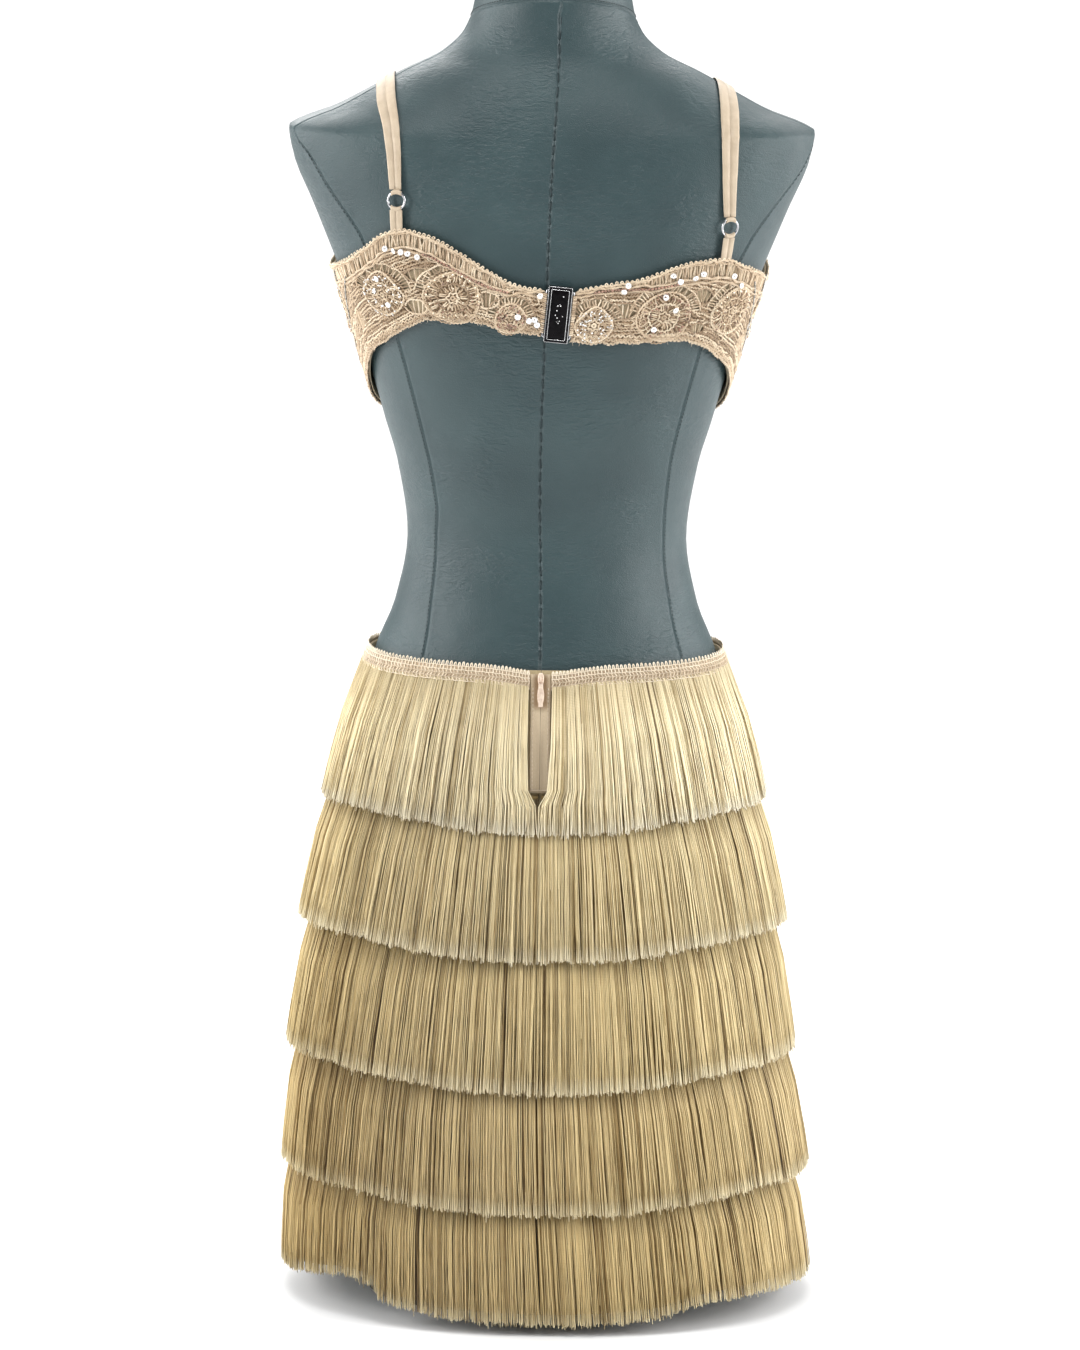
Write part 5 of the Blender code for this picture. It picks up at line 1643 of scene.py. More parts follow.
def make_strap(side, sign, table, ring_height):
    start = ring_height + RING_RADIUS + RING_WIRE + 2 * SEAM
    share = np.linspace(0, 1, 91)
    rng = np.random.default_rng(41 + sign)
    drift = np.cumsum(rng.normal(0, 0.05, len(share)))
    drift -= np.linspace(drift[0], drift[-1], len(share))
    width = table.read("width", share)
    offset = strap_offset(share)
    points, normals = [], []
    for across, _ in STRAP_PROFILE:
        x = table.read("centre_x", share) + across * width / 2 + drift
        angles, heights = strap_places(x, start, STRAP_FRONT_HEIGHT, share)
        points.append(cloth_point(sign * angles, heights, offset + 0.15 * np.sin(share * 19 + across)))
        normals.append(form_normal(sign * angles, heights))
    shape = Shape()
    grid, normals = np.stack(points, 1), np.stack(normals, 1)
    ribbon(shape, grid, normals, STRAP_THICKNESS)
    name = f"satin_strap_{side}"
    made = add_piece(name, finished(shape, name), SATIN, [f"strap_{side}"])
    wrap = Shape()
    wrap_ring(wrap, LEFT_RING if sign > 0 else RIGHT_RING, 1, 8.0)
    make_ring_wraps(side, wrap)


def ring_place(place):
    x, height = place
    angle = float(angle_at_x(abs(x), height, True)) * (1 if x > 0 else -1)
    return angle, cloth_point(angle, height, RING_STAND_OFF), form_normal(angle, height)


def ring_axes(place):
    """The ring's centre, its normal, and the directions across and up in its plane."""
    _, centre, normal = ring_place(place)
    across = unit(np.cross((0.0, 0.0, 1.0), normal))
    return centre, normal, across, np.cross(normal, across)


def make_ring(side, place):
    centre, normal, across, up = ring_axes(place)
    turn = 2 * np.pi * np.arange(56) / 56
    path = centre + RING_RADIUS * (np.cos(turn)[:, None] * across + np.sin(turn)[:, None] * up)
    shape = Shape()
    tubes(shape, path[None], np.broadcast_to(normal, path.shape)[None], RING_WIRE, 10, closed=True)
    name = f"ring_{side}"
    add_piece(name, finished(shape, name), CHROME, [f"strap_ring_{side}"])


def wrap_ring(shape, place, direction, width):
    """The fold of satin round the ring's wire, above it (1) or below it (-1)."""
    centre, normal, across, up = ring_axes(place)
    turn = np.linspace(-0.35 * np.pi, 1.1 * np.pi, 15)
    wire = centre + direction * RING_RADIUS * up
    reach_out, reach_in = RING_WIRE + 0.95, RING_WIRE + 0.12
    steps = np.linspace(-width / 2, width / 2, 9)
    outer, inner = [], []
    for step in steps:
        sag = RING_RADIUS - math.sqrt(max(RING_RADIUS ** 2 - step ** 2, 0.0))
        middle = wire + step * across - direction * sag * up
        spoke = -np.cos(turn)[:, None] * direction * up + np.sin(turn)[:, None] * normal
        outer.append(middle + reach_out * spoke)
        inner.append(middle + reach_in * spoke)
    slab(shape, np.array(outer), np.array(inner), shade=0.5)


def make_ring_wraps(side, shape):
    name = f"strap_fold_{side}"
    add_piece(name, finished(shape, name), SATIN)


def make_tab(side, place, edges):
    """The satin tab from the ring down to the band's top edge, folded round the ring's wire."""
    angle, centre, _ = ring_place(place)
    top = centre[2] - RING_RADIUS - RING_WIRE - 2 * SEAM
    half = math.degrees(TAB_WIDTH / 2 / float(form_radius(angle, top)))
    share = np.linspace(0, 1, 24)
    points, normals = [], []
    for across, _ in STRAP_PROFILE:
        turn = angle + across * half
        edge = float(edges.read("top", turn)) - 1.0
        heights = edge + (top + 1.0 - edge) * share
        points.append(cloth_point(0 * heights + turn, heights, LACE_OFFSET - 0.3 + 0 * heights))
        normals.append(form_normal(0 * heights + turn, heights))
    shape = Shape()
    grid = np.stack(points, 1)
    ribbon(shape, grid, np.stack(normals, 1), TAB_THICKNESS)
    wrap_ring(shape, place, -1, TAB_WIDTH)
    name = f"satin_tab_{side}"
    add_piece(name, finished(shape, name), SATIN, [f"strap_tab_{side}"])


# Clasp

def clasp_matrix():
    angle = math.degrees(math.atan2(CLASP_CENTRE_X, float(form_radius(0, CLASP_HEIGHT))))
    centre = Vector(cloth_point(angle, CLASP_HEIGHT, CLASP_STAND_OFF))
    normal = form_normal(angle, CLASP_HEIGHT)
    lean_back = math.atan2(normal[2], normal[1])
    turn = Matrix.Rotation(lean_back, 4, "X") @ Matrix.Rotation(CLASP_LEAN, 4, "Y")
    return Matrix.Translation(centre) @ turn


def moved(matrix, points):
    array = np.array(matrix)
    return points @ array[:3, :3].T + array[:3, 3]


def rounded_loop(half_width, half_length, depth, corner):
    """A rectangle with round corners in the clasp's own plane."""
    points = []
    for k, (sx, sz) in enumerate(((1, 1), (-1, 1), (-1, -1), (1, -1))):
        for turn in np.linspace(0, math.pi / 2, 5) + k * math.pi / 2:
            x = sx * (half_width - corner) + corner * math.cos(turn)
            z = sz * (half_length - corner) + corner * math.sin(turn)
            points.append((x, depth, z))
    return np.array(points)


def make_clasp():
    place = clasp_matrix()
    wide, tall, deep = CLASP_WIDTH / 2, CLASP_LENGTH / 2, CLASP_DEPTH / 2
    # Insets from the outer edge and depths of the stepped rim, from the back round to the recess.
    steps = (
        (0.5, -deep, 0.6),
        (0.0, -deep + 0.5, 0.9),
        (0.0, deep - 0.9, 0.9),
        (0.35, deep - 0.2, 0.9),
        (0.75, deep, 0.8),
        (1.05, deep - 0.1, 0.8),
        (1.2, deep - 0.75, 0.7),
        (1.55, deep - 0.75, 0.7),
        (1.65, deep - 0.15, 0.6),
        (1.95, deep - 0.05, 0.6),
        (2.35, deep - 0.15, 0.5),
        (2.5, deep - 1.3, 0.4),
        (2.6, deep - CLASP_RECESS, 0.4),
    )
    rings = [rounded_loop(wide - inset, tall - inset, depth, corner) for inset, depth, corner in steps]
    shape = Shape()
    loft(shape, [moved(place, ring) for ring in rings], shade=0.5)
    mesh = finished(shape, "clasp_body")
    mesh.set_sharp_from_angle(angle=math.radians(42))
    add_piece("clasp_body", mesh, GUNMETAL, ["clasp_frame"])
    # Bright metal lines along two of the rim's steps: painted highlights on the dark frame's edges.
    shape = Shape()
    for inset, depth in ((0.15, deep - 0.4), (2.3, deep - 0.05)):
        ring = rounded_loop(wide - inset, tall - inset, depth, 0.7)
        path = moved(place, ring)
        up = moved(place, ring + (0, 1, 0)) - path
        tubes(shape, path[None], up[None], 0.2, 6, closed=True)
    add_piece("clasp_highlight_edges", shape.mesh("clasp_highlight_edges"), HIGHLIGHT_EDGE_METAL)
    inner = CLASP_RIM + SEAM
    floor = deep - CLASP_RECESS + SEAM
    steps = ((0.0, floor), (0.0, deep - 0.7), (0.35, deep - 0.35), (1.2, deep - 0.15), (3.2, deep - 0.02))
    rings = [rounded_loop(wide - inner - inset, tall - inner - inset, depth, 0.4) for inset, depth in steps]
    shape = Shape()
    loft(shape, [moved(place, ring) for ring in rings], shade=0.5)
    add_piece("clasp_enamel", finished(shape, "clasp_enamel"), ENAMEL, ["clasp_panel"])
    make_clasp_chips(place)
    for side, sign in (("left", 1), ("right", -1)):
        make_clasp_loop(side, sign, place)


def make_clasp_chips(place):
    """Small bright chips set in the enamel."""
    rng = np.random.default_rng(9)
    shape = Shape()
    count = 11
    sideways = rng.normal(0.2, 1.7, count)
    upward = rng.normal(-2, 6.5, count)
    local = np.stack([sideways, np.full(count, CLASP_DEPTH / 2), upward], -1)
    local[:, 0] = np.clip(local[:, 0], -4.5, 4.5)
    centres = moved(place, local)
    add_beads(shape, centres, rng.uniform(0.25, 0.55, count), 0.9)
    add_piece("clasp_chips", shape.mesh("clasp_chips"), SPANGLE)


def make_clasp_loop(side, sign, place):
    """The wire that the band's end is sewn round, and the thread wound over it."""
    inner, outer = CLASP_WIDTH / 2 - 0.1, CLASP_WIDTH / 2 + 1.4
    tall = CLASP_LENGTH / 2 - 3.5
    corner = 1.2
    bend = np.linspace(0, math.pi / 2, 6)
    points = [(inner, tall)]
    points += [(outer - corner + corner * math.sin(t), tall - corner + corner * math.cos(t)) for t in bend]
    points += [(outer, z) for z in np.linspace(tall - corner - 1, -tall + corner + 1, 16)]
    points += [(outer - corner + corner * math.cos(t), -tall + corner - corner * math.sin(t)) for t in bend]
    points += [(inner, -tall)]
    local = np.array([(sign * x, 0.0, z) for x, z in points])
    path = moved(place, local)
    shape = Shape()
    up = moved(place, local + (0, 1, 0)) - path
    tubes(shape, path[None], up[None], CLASP_WIRE * 0.85, 8)
    name = f"clasp_wire_{side}"
    add_piece(name, finished(shape, name), CHROME, [f"clasp_loop_{side}"])
    wraps = Shape()
    turn = np.linspace(0.15 * np.pi, 1.85 * np.pi, 9)
    rng = np.random.default_rng(51 + sign)
    for height in np.arange(-tall + 3.2, tall - 2.6, 1.55):
        reach = CLASP_WIRE + 0.55
        ring = np.stack(
            [
                sign * (outer + 0.6 - reach * np.cos(turn)),
                reach * 0.9 * np.sin(turn) + 0.2,
                height + rng.uniform(-0.2, 0.2) + 0.5 * np.sin(turn / 2),
            ],
            -1,
        )
        path = moved(place, ring)
        up = moved(place, ring + (0, 0, 1)) - path
        tubes(wraps, path[None], up[None], 0.62, 5, shade=np.array([rng.uniform(0.3, 0.7)]))
    name = f"band_end_wraps_{side}"
    add_piece(name, finished(wraps, name), COTTON)


# Skirt, waistband and zip

def body_grid(low, high, columns, heights, offset):
    angles = np.linspace(low, high, columns + 1)[:, None]
    heights = np.asarray(heights, float)[None, :]
    return cloth_point(angles + 0 * heights, heights + 0 * angles, offset)


def make_skirt():
    centre = float(back_angle(ZIP_X, 450))
    near = math.degrees(SEAM / 2 / 150)
    heights = np.linspace(SKIRT_HEM, WAIST_TOP - 1.0, 34)
    panels = (
        ("front", 90 + near, 270 - near, 64),
        ("back_left", centre + near, 90 - near, 32),
        ("back_right", -90 + near, centre - near, 32),
    )
    for side, low, high, columns in panels:
        grid = body_grid(low, high, columns, heights, SKIRT_OFFSET)
        name = f"skirt_cloth_{side}"
        made = wall(name, grid, SKIRT_THICKNESS, SKIRT_CLOTH, [f"skirt_{side}"])


def waist_dip(angles):
    """How much lower the skirt's top edge runs beside the zip."""
    aside = np.abs((np.asarray(angles, float) + 180) % 360 - 180)
    return WAIST_DIP * np.exp(-((aside / WAIST_DIP_SPREAD) ** 2))


def make_waistband():
    """The ribbed header braid round the skirt's top edge, with a row of small picot loops on it."""
    centre = float(back_angle(ZIP_X, WAIST_TOP))
    gap = math.degrees(WAISTBAND_GAP / 2 / float(form_radius(0, WAIST_TOP)))
    low, high = centre + gap, centre + 360 - gap
    share = np.linspace(0, 1, 15)
    heights = WAIST_TOP - WAISTBAND_HEIGHT + WAISTBAND_HEIGHT * share
    ribs = 0.2 * np.abs(np.sin(np.pi * 3 * share)) ** 0.7
    angles = np.linspace(low, high, 241)[:, None]
    edge = np.minimum(1.0, np.minimum(share, 1 - share) * 9 + 0.25)
    outer_offset = BRAID_OFFSET + (BRAID_THICKNESS - 0.7) * edge + ribs
    levels = heights - waist_dip(angles)
    outer = cloth_point(angles + 0 * heights, levels, outer_offset[None, :] + 0 * angles)
    inner = cloth_point(angles + 0 * heights, levels, BRAID_OFFSET)
    shape = Shape()
    run = np.radians(angles - low) * 120
    # The braid's backing gets a low tone: painted shade between the stitches laid over it.
    slab(shape, outer, inner, shade=0.12, length=np.broadcast_to(run, outer.shape[:-1]))
    stitches = Shape()
    add_picots(stitches, low, high)
    add_header_chains(stitches, low, high)
    made = add_piece("header_braid", finished(shape, "header_braid"), BRAID, ["waistband"])
    threads = add_piece("braid_stitches", finished(stitches, "braid_stitches"), BRAID)


def add_picots(shape, low, high):
    """Small loops that stand on the braid's top edge."""
    rng = np.random.default_rng(61)
    count = 216
    middles = np.linspace(low + 0.9, high - 0.9, count)
    turn = np.linspace(-0.2 * np.pi, 1.2 * np.pi, 7)
    tall = rng.uniform(2.2, 3.0, count)
    across = np.degrees(0.75 * np.cos(turn) / 115)[None, :]
    angles = middles[:, None] + across
    heights = WAIST_TOP + 0.1 + tall[:, None] * (0.25 + np.sin(turn))[None, :] * 0.75 - waist_dip(angles)
    offsets = BRAID_OFFSET + 0.9 + 0.12 * np.cos(turn)[None, :] + 0 * angles
    points = cloth_point(angles, heights, offsets)
    tubes(shape, points, form_normal(angles, heights), 0.52, 4, shade=rng.uniform(0.7, 1.0, count))


def add_header_chains(shape, low, high):
    """Rows of slanting stitches along the braid, each row leaning the other way."""
    rng = np.random.default_rng(62)
    count = 250
    middles = np.linspace(low + 0.7, high - 0.7, count)
    share = np.linspace(-0.5, 0.5, 4)
    rows = ((0.1, 2.0, 0.6, 0.6), (0.34, 2.3, -0.7, 0.45), (0.58, 2.3, 0.7, 0.55), (0.84, 3.0, 0.15, 0.75))
    for level, tall, lean, shade in rows:
        angles = middles[:, None] + rng.normal(0, 0.1, (count, 1)) + lean * share[None, :]
        heights = WAIST_TOP - WAISTBAND_HEIGHT * (1 - level) + tall * share[None, :] - waist_dip(angles)
        lift = 0.4 * np.cos(np.pi * share)[None, :] + 0 * angles
        points = cloth_point(angles, heights, BRAID_OFFSET + BRAID_THICKNESS - 0.45 + lift)
        shades = shade + rng.uniform(-0.25, 0.25, count)
        tubes(shape, points, form_normal(angles, heights), 0.5, 3, shade=shades)
    for level, shade in ((0.0, 0.75), (0.22, 0.3), (0.46, 0.35), (0.71, 0.8), (0.97, 0.7)):
        angles = np.linspace(low + 0.2, high - 0.2, 300)
        twist = np.arange(300) * 1.9
        heights = WAIST_TOP - WAISTBAND_HEIGHT * (1 - level) + 0.25 * np.sin(twist)
        heights = heights - waist_dip(angles)
        offset = BRAID_OFFSET + BRAID_THICKNESS - 0.35 + 0.18 * np.cos(twist)
        points = cloth_point(angles, heights, offset)
        tubes(shape, points[None], form_normal(angles, heights)[None], 0.48, 3, shade=np.array([shade]))


def zip_widths(heights):
    """The tape's width: it narrows a little where it runs up between the waistband's ends."""
    shoulder = WAIST_TOP - WAISTBAND_HEIGHT - 2 * SEAM
    return np.where(heights > shoulder - 0.5, ZIP_TAPE_NECK, ZIP_TAPE_WIDTH)


def make_zip_tape():
    """Two tape edges that meet over the hidden coil, with a narrow groove between them."""
    below_band = np.linspace(ZIP_TAPE_BOTTOM, 490.8, 60)
    between_ends = np.linspace(491.8, ZIP_TAPE_TOP, 8)
    heights = np.concatenate([below_band, [491.4], between_ends])
    profile = [(-1.0, 0.1), (-0.9, 0.22), (-0.5, 0.25), (-0.26, 0.35), (-0.15, 0.8), (-0.05, 0.75), (0.0, -0.15)]
    profile += [(-across, lift) for across, lift in profile[-2::-1]]
    outer, inner = [], []
    for across, lift in profile:
        width = zip_widths(heights)
        x = ZIP_X + across * np.where(abs(across) < 0.3, ZIP_TAPE_WIDTH * 0.42, width) / 2
        angles = back_angle(x, heights)
        offset = BRAID_OFFSET + ZIP_TAPE_THICKNESS - 0.25 + lift + 0 * angles
        outer.append(cloth_point(angles, heights, offset))
        inner.append(cloth_point(angles, heights, BRAID_OFFSET + 0 * angles))
    shape = Shape()
    grid = np.array(outer)
    # Painted shadow: the shade field is low on the tape's middle round the slider and pull, and the tape material
    # darkens it there.
    away_from_slider = np.clip(np.abs(heights - 486) / 6 - 1.6, 0, 1)[None, :]
    near_edge = np.clip(np.abs(grid[..., 0] - ZIP_X) / 4 - 1, 0, 1)
    slab(shape, grid, np.array(inner), shade=np.clip(away_from_slider + near_edge, 0, 1)[None])
    made = add_piece("zip_cloth", finished(shape, "zip_cloth"), ZIP_CLOTH, ["zip_tape"])
    stitches = Shape()
    count = 26
    middles = np.linspace(ZIP_TAPE_BOTTOM + 3, 488, count)
    for aside in (-5.6, 5.6):
        spots = middles[:, None] + 2.0 * np.linspace(-0.5, 0.5, 4)
        angles = back_angle(ZIP_X + aside, spots)
        lift = np.array([-0.2, 0.25, 0.25, -0.2])
        points = cloth_point(angles, spots, BRAID_OFFSET + ZIP_TAPE_THICKNESS + lift)
        tubes(stitches, points, form_normal(angles, spots), 0.24, 4, shade=0.6)
    spots = np.linspace(ZIP_TAPE_BOTTOM + 2, 486, 60)
    angles = back_angle(ZIP_X + 0.15 * np.sin(spots * 0.2), spots)
    points = cloth_point(angles, spots, BRAID_OFFSET + ZIP_TAPE_THICKNESS + 0.15 + 0 * spots)
    tubes(stitches, points[None], form_normal(angles, spots)[None], 0.28, 4, shade=np.array([0.0]))
    end = np.linspace(-6.5, 6.5, 14)
    angles = back_angle(ZIP_X + end, ZIP_TAPE_BOTTOM + 2.0 + 0 * end)
    points = cloth_point(angles, ZIP_TAPE_BOTTOM + 2.0 + 0 * end, BRAID_OFFSET + 1.7 + 0.2 * np.sin(end * 3))
    tubes(stitches, points[None], form_normal(angles, ZIP_TAPE_BOTTOM + 2.0 + 0 * end)[None], 0.4, 5)
    threads = add_piece("zip_stitches", stitches.mesh("zip_stitches"), ZIP_THREAD)


def zip_matrix():
    """The hinge of the pull tab, with Y straight out of the cloth."""
    angle = float(back_angle(ZIP_X, SLIDER_HEIGHT))
    normal = form_normal(angle, SLIDER_HEIGHT)
    stand_off = BRAID_OFFSET + ZIP_TAPE_THICKNESS + 2 * SEAM + SLIDER_SIZE[1] + 1.0
    centre = Vector(cloth_point(angle, SLIDER_HEIGHT, stand_off))
    centre.x = ZIP_X
    return Matrix.Translation(centre) @ Matrix.Rotation(math.atan2(normal[2], normal[1]), 4, "X")


def make_slider(place):
    """A tapered body with a raised spine, and the bridge that carries the pull tab."""
    wide, deep, tall = SLIDER_SIZE
    top = -1.0
    shape = Shape()
    rings = []
    turn = 2 * np.pi * np.arange(24) / 24
    for share in np.linspace(0, 1, 11):
        z = -tall / 2 + tall * share
        end = math.sin(math.pi * min(max(share, 0.04), 0.96)) ** 0.35
        half = wide / 2 * (0.78 + 0.22 * share) * end
        x = half * np.sign(np.cos(turn)) * np.abs(np.cos(turn)) ** 0.6
        y = top - deep / 2 + deep / 2 * end * np.sign(np.sin(turn)) * np.abs(np.sin(turn)) ** 0.7
        rings.append(np.stack([x, y, 0 * turn + z], -1))
    loft(shape, [moved(place, ring) for ring in rings], shade=0.5)
    turn = np.linspace(0, math.pi, 19)
    arc = np.stack([0 * turn, BRIDGE_RADIUS * np.sin(turn), -BRIDGE_RADIUS * np.cos(turn)], -1)
    local = np.concatenate([[(0, -1.7, -BRIDGE_RADIUS)], arc, [(0, -1.7, BRIDGE_RADIUS)]])
    path = moved(place, local)
    up = moved(place, local + (1, 0, 0)) - path
    tubes(shape, path[None], up[None], BRIDGE_WIRE * 1.1, 8)
    add_piece("slider", finished(shape, "slider"), ZIP_METAL, ["zip_slider"])


def pull_half_width(share):
    body = PULL_WIDTH / 2 * (math.sin(math.pi * min(1.0, share) ** 1.35)) ** 0.62
    neck = 1.75 * math.sin(math.pi * min(0.5, 4.5 * share))
    return max(body, neck)


def pull_loop(inset, depth, count=25):
    """The teardrop's outline below its eye, drawn in by an inset."""
    top = -BRIDGE_RADIUS - PULL_EYE - 0.35
    bottom = -BRIDGE_RADIUS + PULL_EYE + 0.45 - PULL_LENGTH
    whole = -BRIDGE_RADIUS + PULL_EYE + 0.45
    right = []
    for i in range(count):
        z = top - inset + (bottom + inset - top + inset) * (1 - math.cos(math.pi * i / (count - 1))) / 2
        share = (whole - z) / PULL_LENGTH
        right.append((max(0.12, pull_half_width(min(share, 0.995)) - inset), z))
    outline = right + [(-x, z) for x, z in reversed(right)]
    return np.array([(x, depth, z) for x, z in outline])


def make_pull(place):
    """The pull tab: an eye round the bridge and a leaf with a raised rim on both faces."""
    half = PULL_THICKNESS / 2
    levels = (
        (1.15, -half + 0.22),
        (0.95, -half + 0.2),
        (0.75, -half),
        (0.22, -half),
        (0.0, -half + 0.2),
        (0.0, half - 0.2),
        (0.22, half),
        (0.75, half),
        (0.95, half - 0.2),
        (1.15, half - 0.22),
    )
    shape = Shape()
    loft(shape, [moved(place, pull_loop(inset, depth)) for inset, depth in levels], shade=0.5)
    turn = 2 * np.pi * np.arange(28) / 28
    reach = PULL_EYE + 0.42
    local = np.stack([reach * np.cos(turn), 0 * turn, -BRIDGE_RADIUS + reach * np.sin(turn)], -1)
    path = moved(place, local)
    up = moved(place, local + (0, 1, 0)) - path
    tubes(shape, path[None], up[None], 0.4, 8, closed=True)
    name = "pull_leaf"
    add_piece(name, finished(shape, name), ZIP_METAL, ["zip_pull"], PULL_BODY)


# Fringe

BACK_THREADS = 2360
FRONT_THREADS = 640
BACK_REACH = 104.0  # the finer threads hang within this angle of the centre back
BACK_THREAD_RADIUS = 0.37
FRONT_THREAD_RADIUS = 0.75
THREADS_A_CLUMP = 8
ZIP_TIER_SHARES = np.array([0.0, 0.4, 0.7, 0.8, 1.0])  # places of a thread's points, from root to tip
TIER_SHARES = np.array([0.0, 0.42, 0.78, 1.0])
CURTAIN_DEPTH = 5.4  # of the deepest threads, which close the view behind the others
CURTAIN_COLUMNS = 260
TIER_SLITS = (17.0, 0.0, 0.8, 1.8, 2.2)
# How far each tier's tips hang to the wearer's right of the form's axis.
TIER_DRIFTS = (0.0, 0.0, 0.0, 4.6, 6.0)
# How much higher the lowest tier's tips end at each angle: the wearer's left side hangs a little short.
HEM_LIFT = Table(
    ("angle", "lift"),
    (-180, 0),
    (-110, 0),
    (-80, 0),
    (-60, 3),
    (-42, 5),
    (-25, 0),
    (0, 0),
    (25, 1),
    (38, 2),
    (43, 4),
    (46, 15),
    (52, 16),
    (62, 11),
    (75, 5),
    (100, 1),
    (180, 0),
)


def wrapped(angle):
    return (angle + 180) % 360 - 180


def sway(rng, angles, waves, size):
    """A smooth uneven drift round the body, the sum of a few waves."""
    total = np.zeros(np.shape(angles))
    for count in waves:
        total = total + np.sin(np.radians(angles) * count + rng.uniform(0, 2 * np.pi)) * rng.uniform(0.5, 1.0)
    return size * total / len(waves)


def thread_shares(number):
    return ZIP_TIER_SHARES if number == 1 else TIER_SHARES


def clump_pull(share):
    """How far the threads of a clump draw together on their way down."""
    return np.interp(share, [0.0, 0.25, 0.55, 0.78, 1.0], [0.0, 0.15, 0.75, 1.0, 0.5])


def tip_lift(number, angles):
    lift = TIP_LIFT.read("lift", np.abs(wrapped(angles)))
    if number == len(FRINGE_TIERS):
        lift = lift + HEM_LIFT.read("lift", wrapped(angles))
    return lift


def parted_at_zip(angles, centre, slit, share, rng):
    """Threads beside the zip hang past its tape and draw together below it."""
    if slit < ZIP_TAPE_WIDTH:
        return angles
    scale = float(form_radius(0, 450)) + BRAID_OFFSET
    aside = np.radians(wrapped(angles - centre)) * scale
    drawn = slit / 2 * np.interp(share, ZIP_TIER_SHARES, [0.0, 0.18, 0.5, 1.2, 1.35])
    moved_in = drawn * np.exp(-np.maximum(np.abs(aside) - slit / 2, 0) / 14)
    moved_in = np.minimum(moved_in * rng.uniform(0.85, 1.0, (len(angles), 1)), np.abs(aside) - 0.3)
    return centre + np.degrees((aside - np.sign(aside) * moved_in) / scale)


def half_slit(slit, height):
    """Half of a slit at the centre back, as an angle."""
    return math.degrees(slit / 2 / float(form_radius(0, height)))


def thread_angles(number, tier, rng, count):
    """Angles of a tier's threads from root to tip, and the number of the clump that each is in."""
    strip_top = tier.strip_top
    slit = TIER_SLITS[number - 1]
    centre = float(back_angle(ZIP_X, strip_top))
    half = half_slit(slit, strip_top)
    left = np.linspace(centre + half, BACK_REACH, BACK_THREADS // 2)
    front = np.linspace(BACK_REACH, 360 - BACK_REACH, FRONT_THREADS)
    right = np.linspace(360 - BACK_REACH, centre + 360 - half, BACK_THREADS - BACK_THREADS // 2)
    root = np.concatenate([left, front, right]) + rng.normal(0, 0.09, count)
    bounds = np.cumsum(rng.uniform(0.35, 1.75, count) * THREADS_A_CLUMP)
    clump = np.searchsorted(bounds, np.arange(count))
    clump = np.clip(clump + (rng.random(count) < 0.07) * rng.choice([-1, 1], count), 0, clump.max())
    clumps = clump.max() + 1
    members = np.maximum(np.bincount(clump, minlength=clumps), 1)
    middle = np.bincount(clump, root, clumps) / members + rng.normal(0, 0.16, clumps)
    strength = rng.uniform(0.05, 0.8, clumps) ** 1.3
    share = thread_shares(number)
    pull = strength[clump][:, None] * clump_pull(share)
    angles = root[:, None] * (1 - pull) + middle[clump][:, None] * pull
    angles = angles + rng.normal(0, 0.3, count)[:, None] * 1.3 * share ** 2.5
    angles = angles + sway(rng, root, (5, 9, 14, 23), 0.5)[:, None] * share
    angles = angles + rng.normal(0, 0.07, angles.shape) * (share > 0.1)
    return root, parted_at_zip(angles, centre, slit, share, rng), clump


def tier_radius(tier, angles, share, root_height):
    """Outer face of a tier's threads at a share of the way from its strip to its tips."""
    roots = cloth_point(angles, root_height + 0 * angles, BRAID_OFFSET + BRAID_THICKNESS)
    root = np.linalg.norm(roots[..., :2], axis=-1)
    reach = oval_radius(angles, tier.half_width, tier.half_depth, TIP_SQUARENESS)
    return root * (1 - share) + reach * share + LOCK_BULGE * np.sin(np.pi * share ** 0.85) * 0.9


def drifted(number, points, share):
    """Moves a tier's threads towards the wearer's right, most at their tips."""
    points[..., 0] -= TIER_DRIFTS[number - 1] * share
    return points


def fringe_threads(number, tier, rng):
    """Paths of a tier's threads, their angles, and how light each one is, with painted shade on the deeper ones.
    """
    strip_top, tip_height = tier.strip_top, tier.tip_height
    count = BACK_THREADS + FRONT_THREADS
    root, angles, clump = thread_angles(number, tier, rng, count)
    share = thread_shares(number)[None, :]
    layer = rng.uniform(0, 1, count)
    clump_depth = rng.normal(0, 0.6, clump.max() + 1)[clump]
    tip = tip_height + 1.5 + tip_lift(number, root) + sway(rng, root, (7, 13, 31, 57), 1.3)
    tip = tip + rng.normal(0, 1.0, count) + rng.normal(0, 0.7, clump.max() + 1)[clump]
    stray = rng.random(count) < 0.03
    tip = np.maximum(tip + stray * rng.uniform(-4, 3, count), 2.5)
    start = (strip_top + 4.2 - waist_dip(root) if number == 1 else strip_top - 1.5 + 0 * root)[:, None]
    heights = start + (tip[:, None] - start) * share
    radius = tier_radius(tier, angles, share, start)
    drift = sway(rng, root, (3, 7, 11), 1.4)[:, None] - 0.3
    sunk = (layer * 3.8 + clump_depth + 0.2)[:, None] * np.clip(0.15 + 1.4 * share, 0, 1)
    if number == 1:
        sunk = sunk * (1 - 0.9 * np.exp(-((wrapped(root) / 7.5) ** 2)))[:, None]
    over_braid = (0.5 if number == 1 else 0.0) * (share == 0)
    radius = radius + drift * share - sunk + 0.9 * share ** 4 + over_braid
    clump_tone = rng.normal(0, 0.1, clump.max() + 1)[clump]
    # Painted shade: the deeper a thread's layer, the darker its tone; the rest of the tone differs at random by
    # thread and by clump.
    tone = np.clip(rng.normal(0.68, 0.17, count) + clump_tone - 0.42 * layer, 0, 1)
    return drifted(number, round_point(angles, radius, heights), share), angles, tone


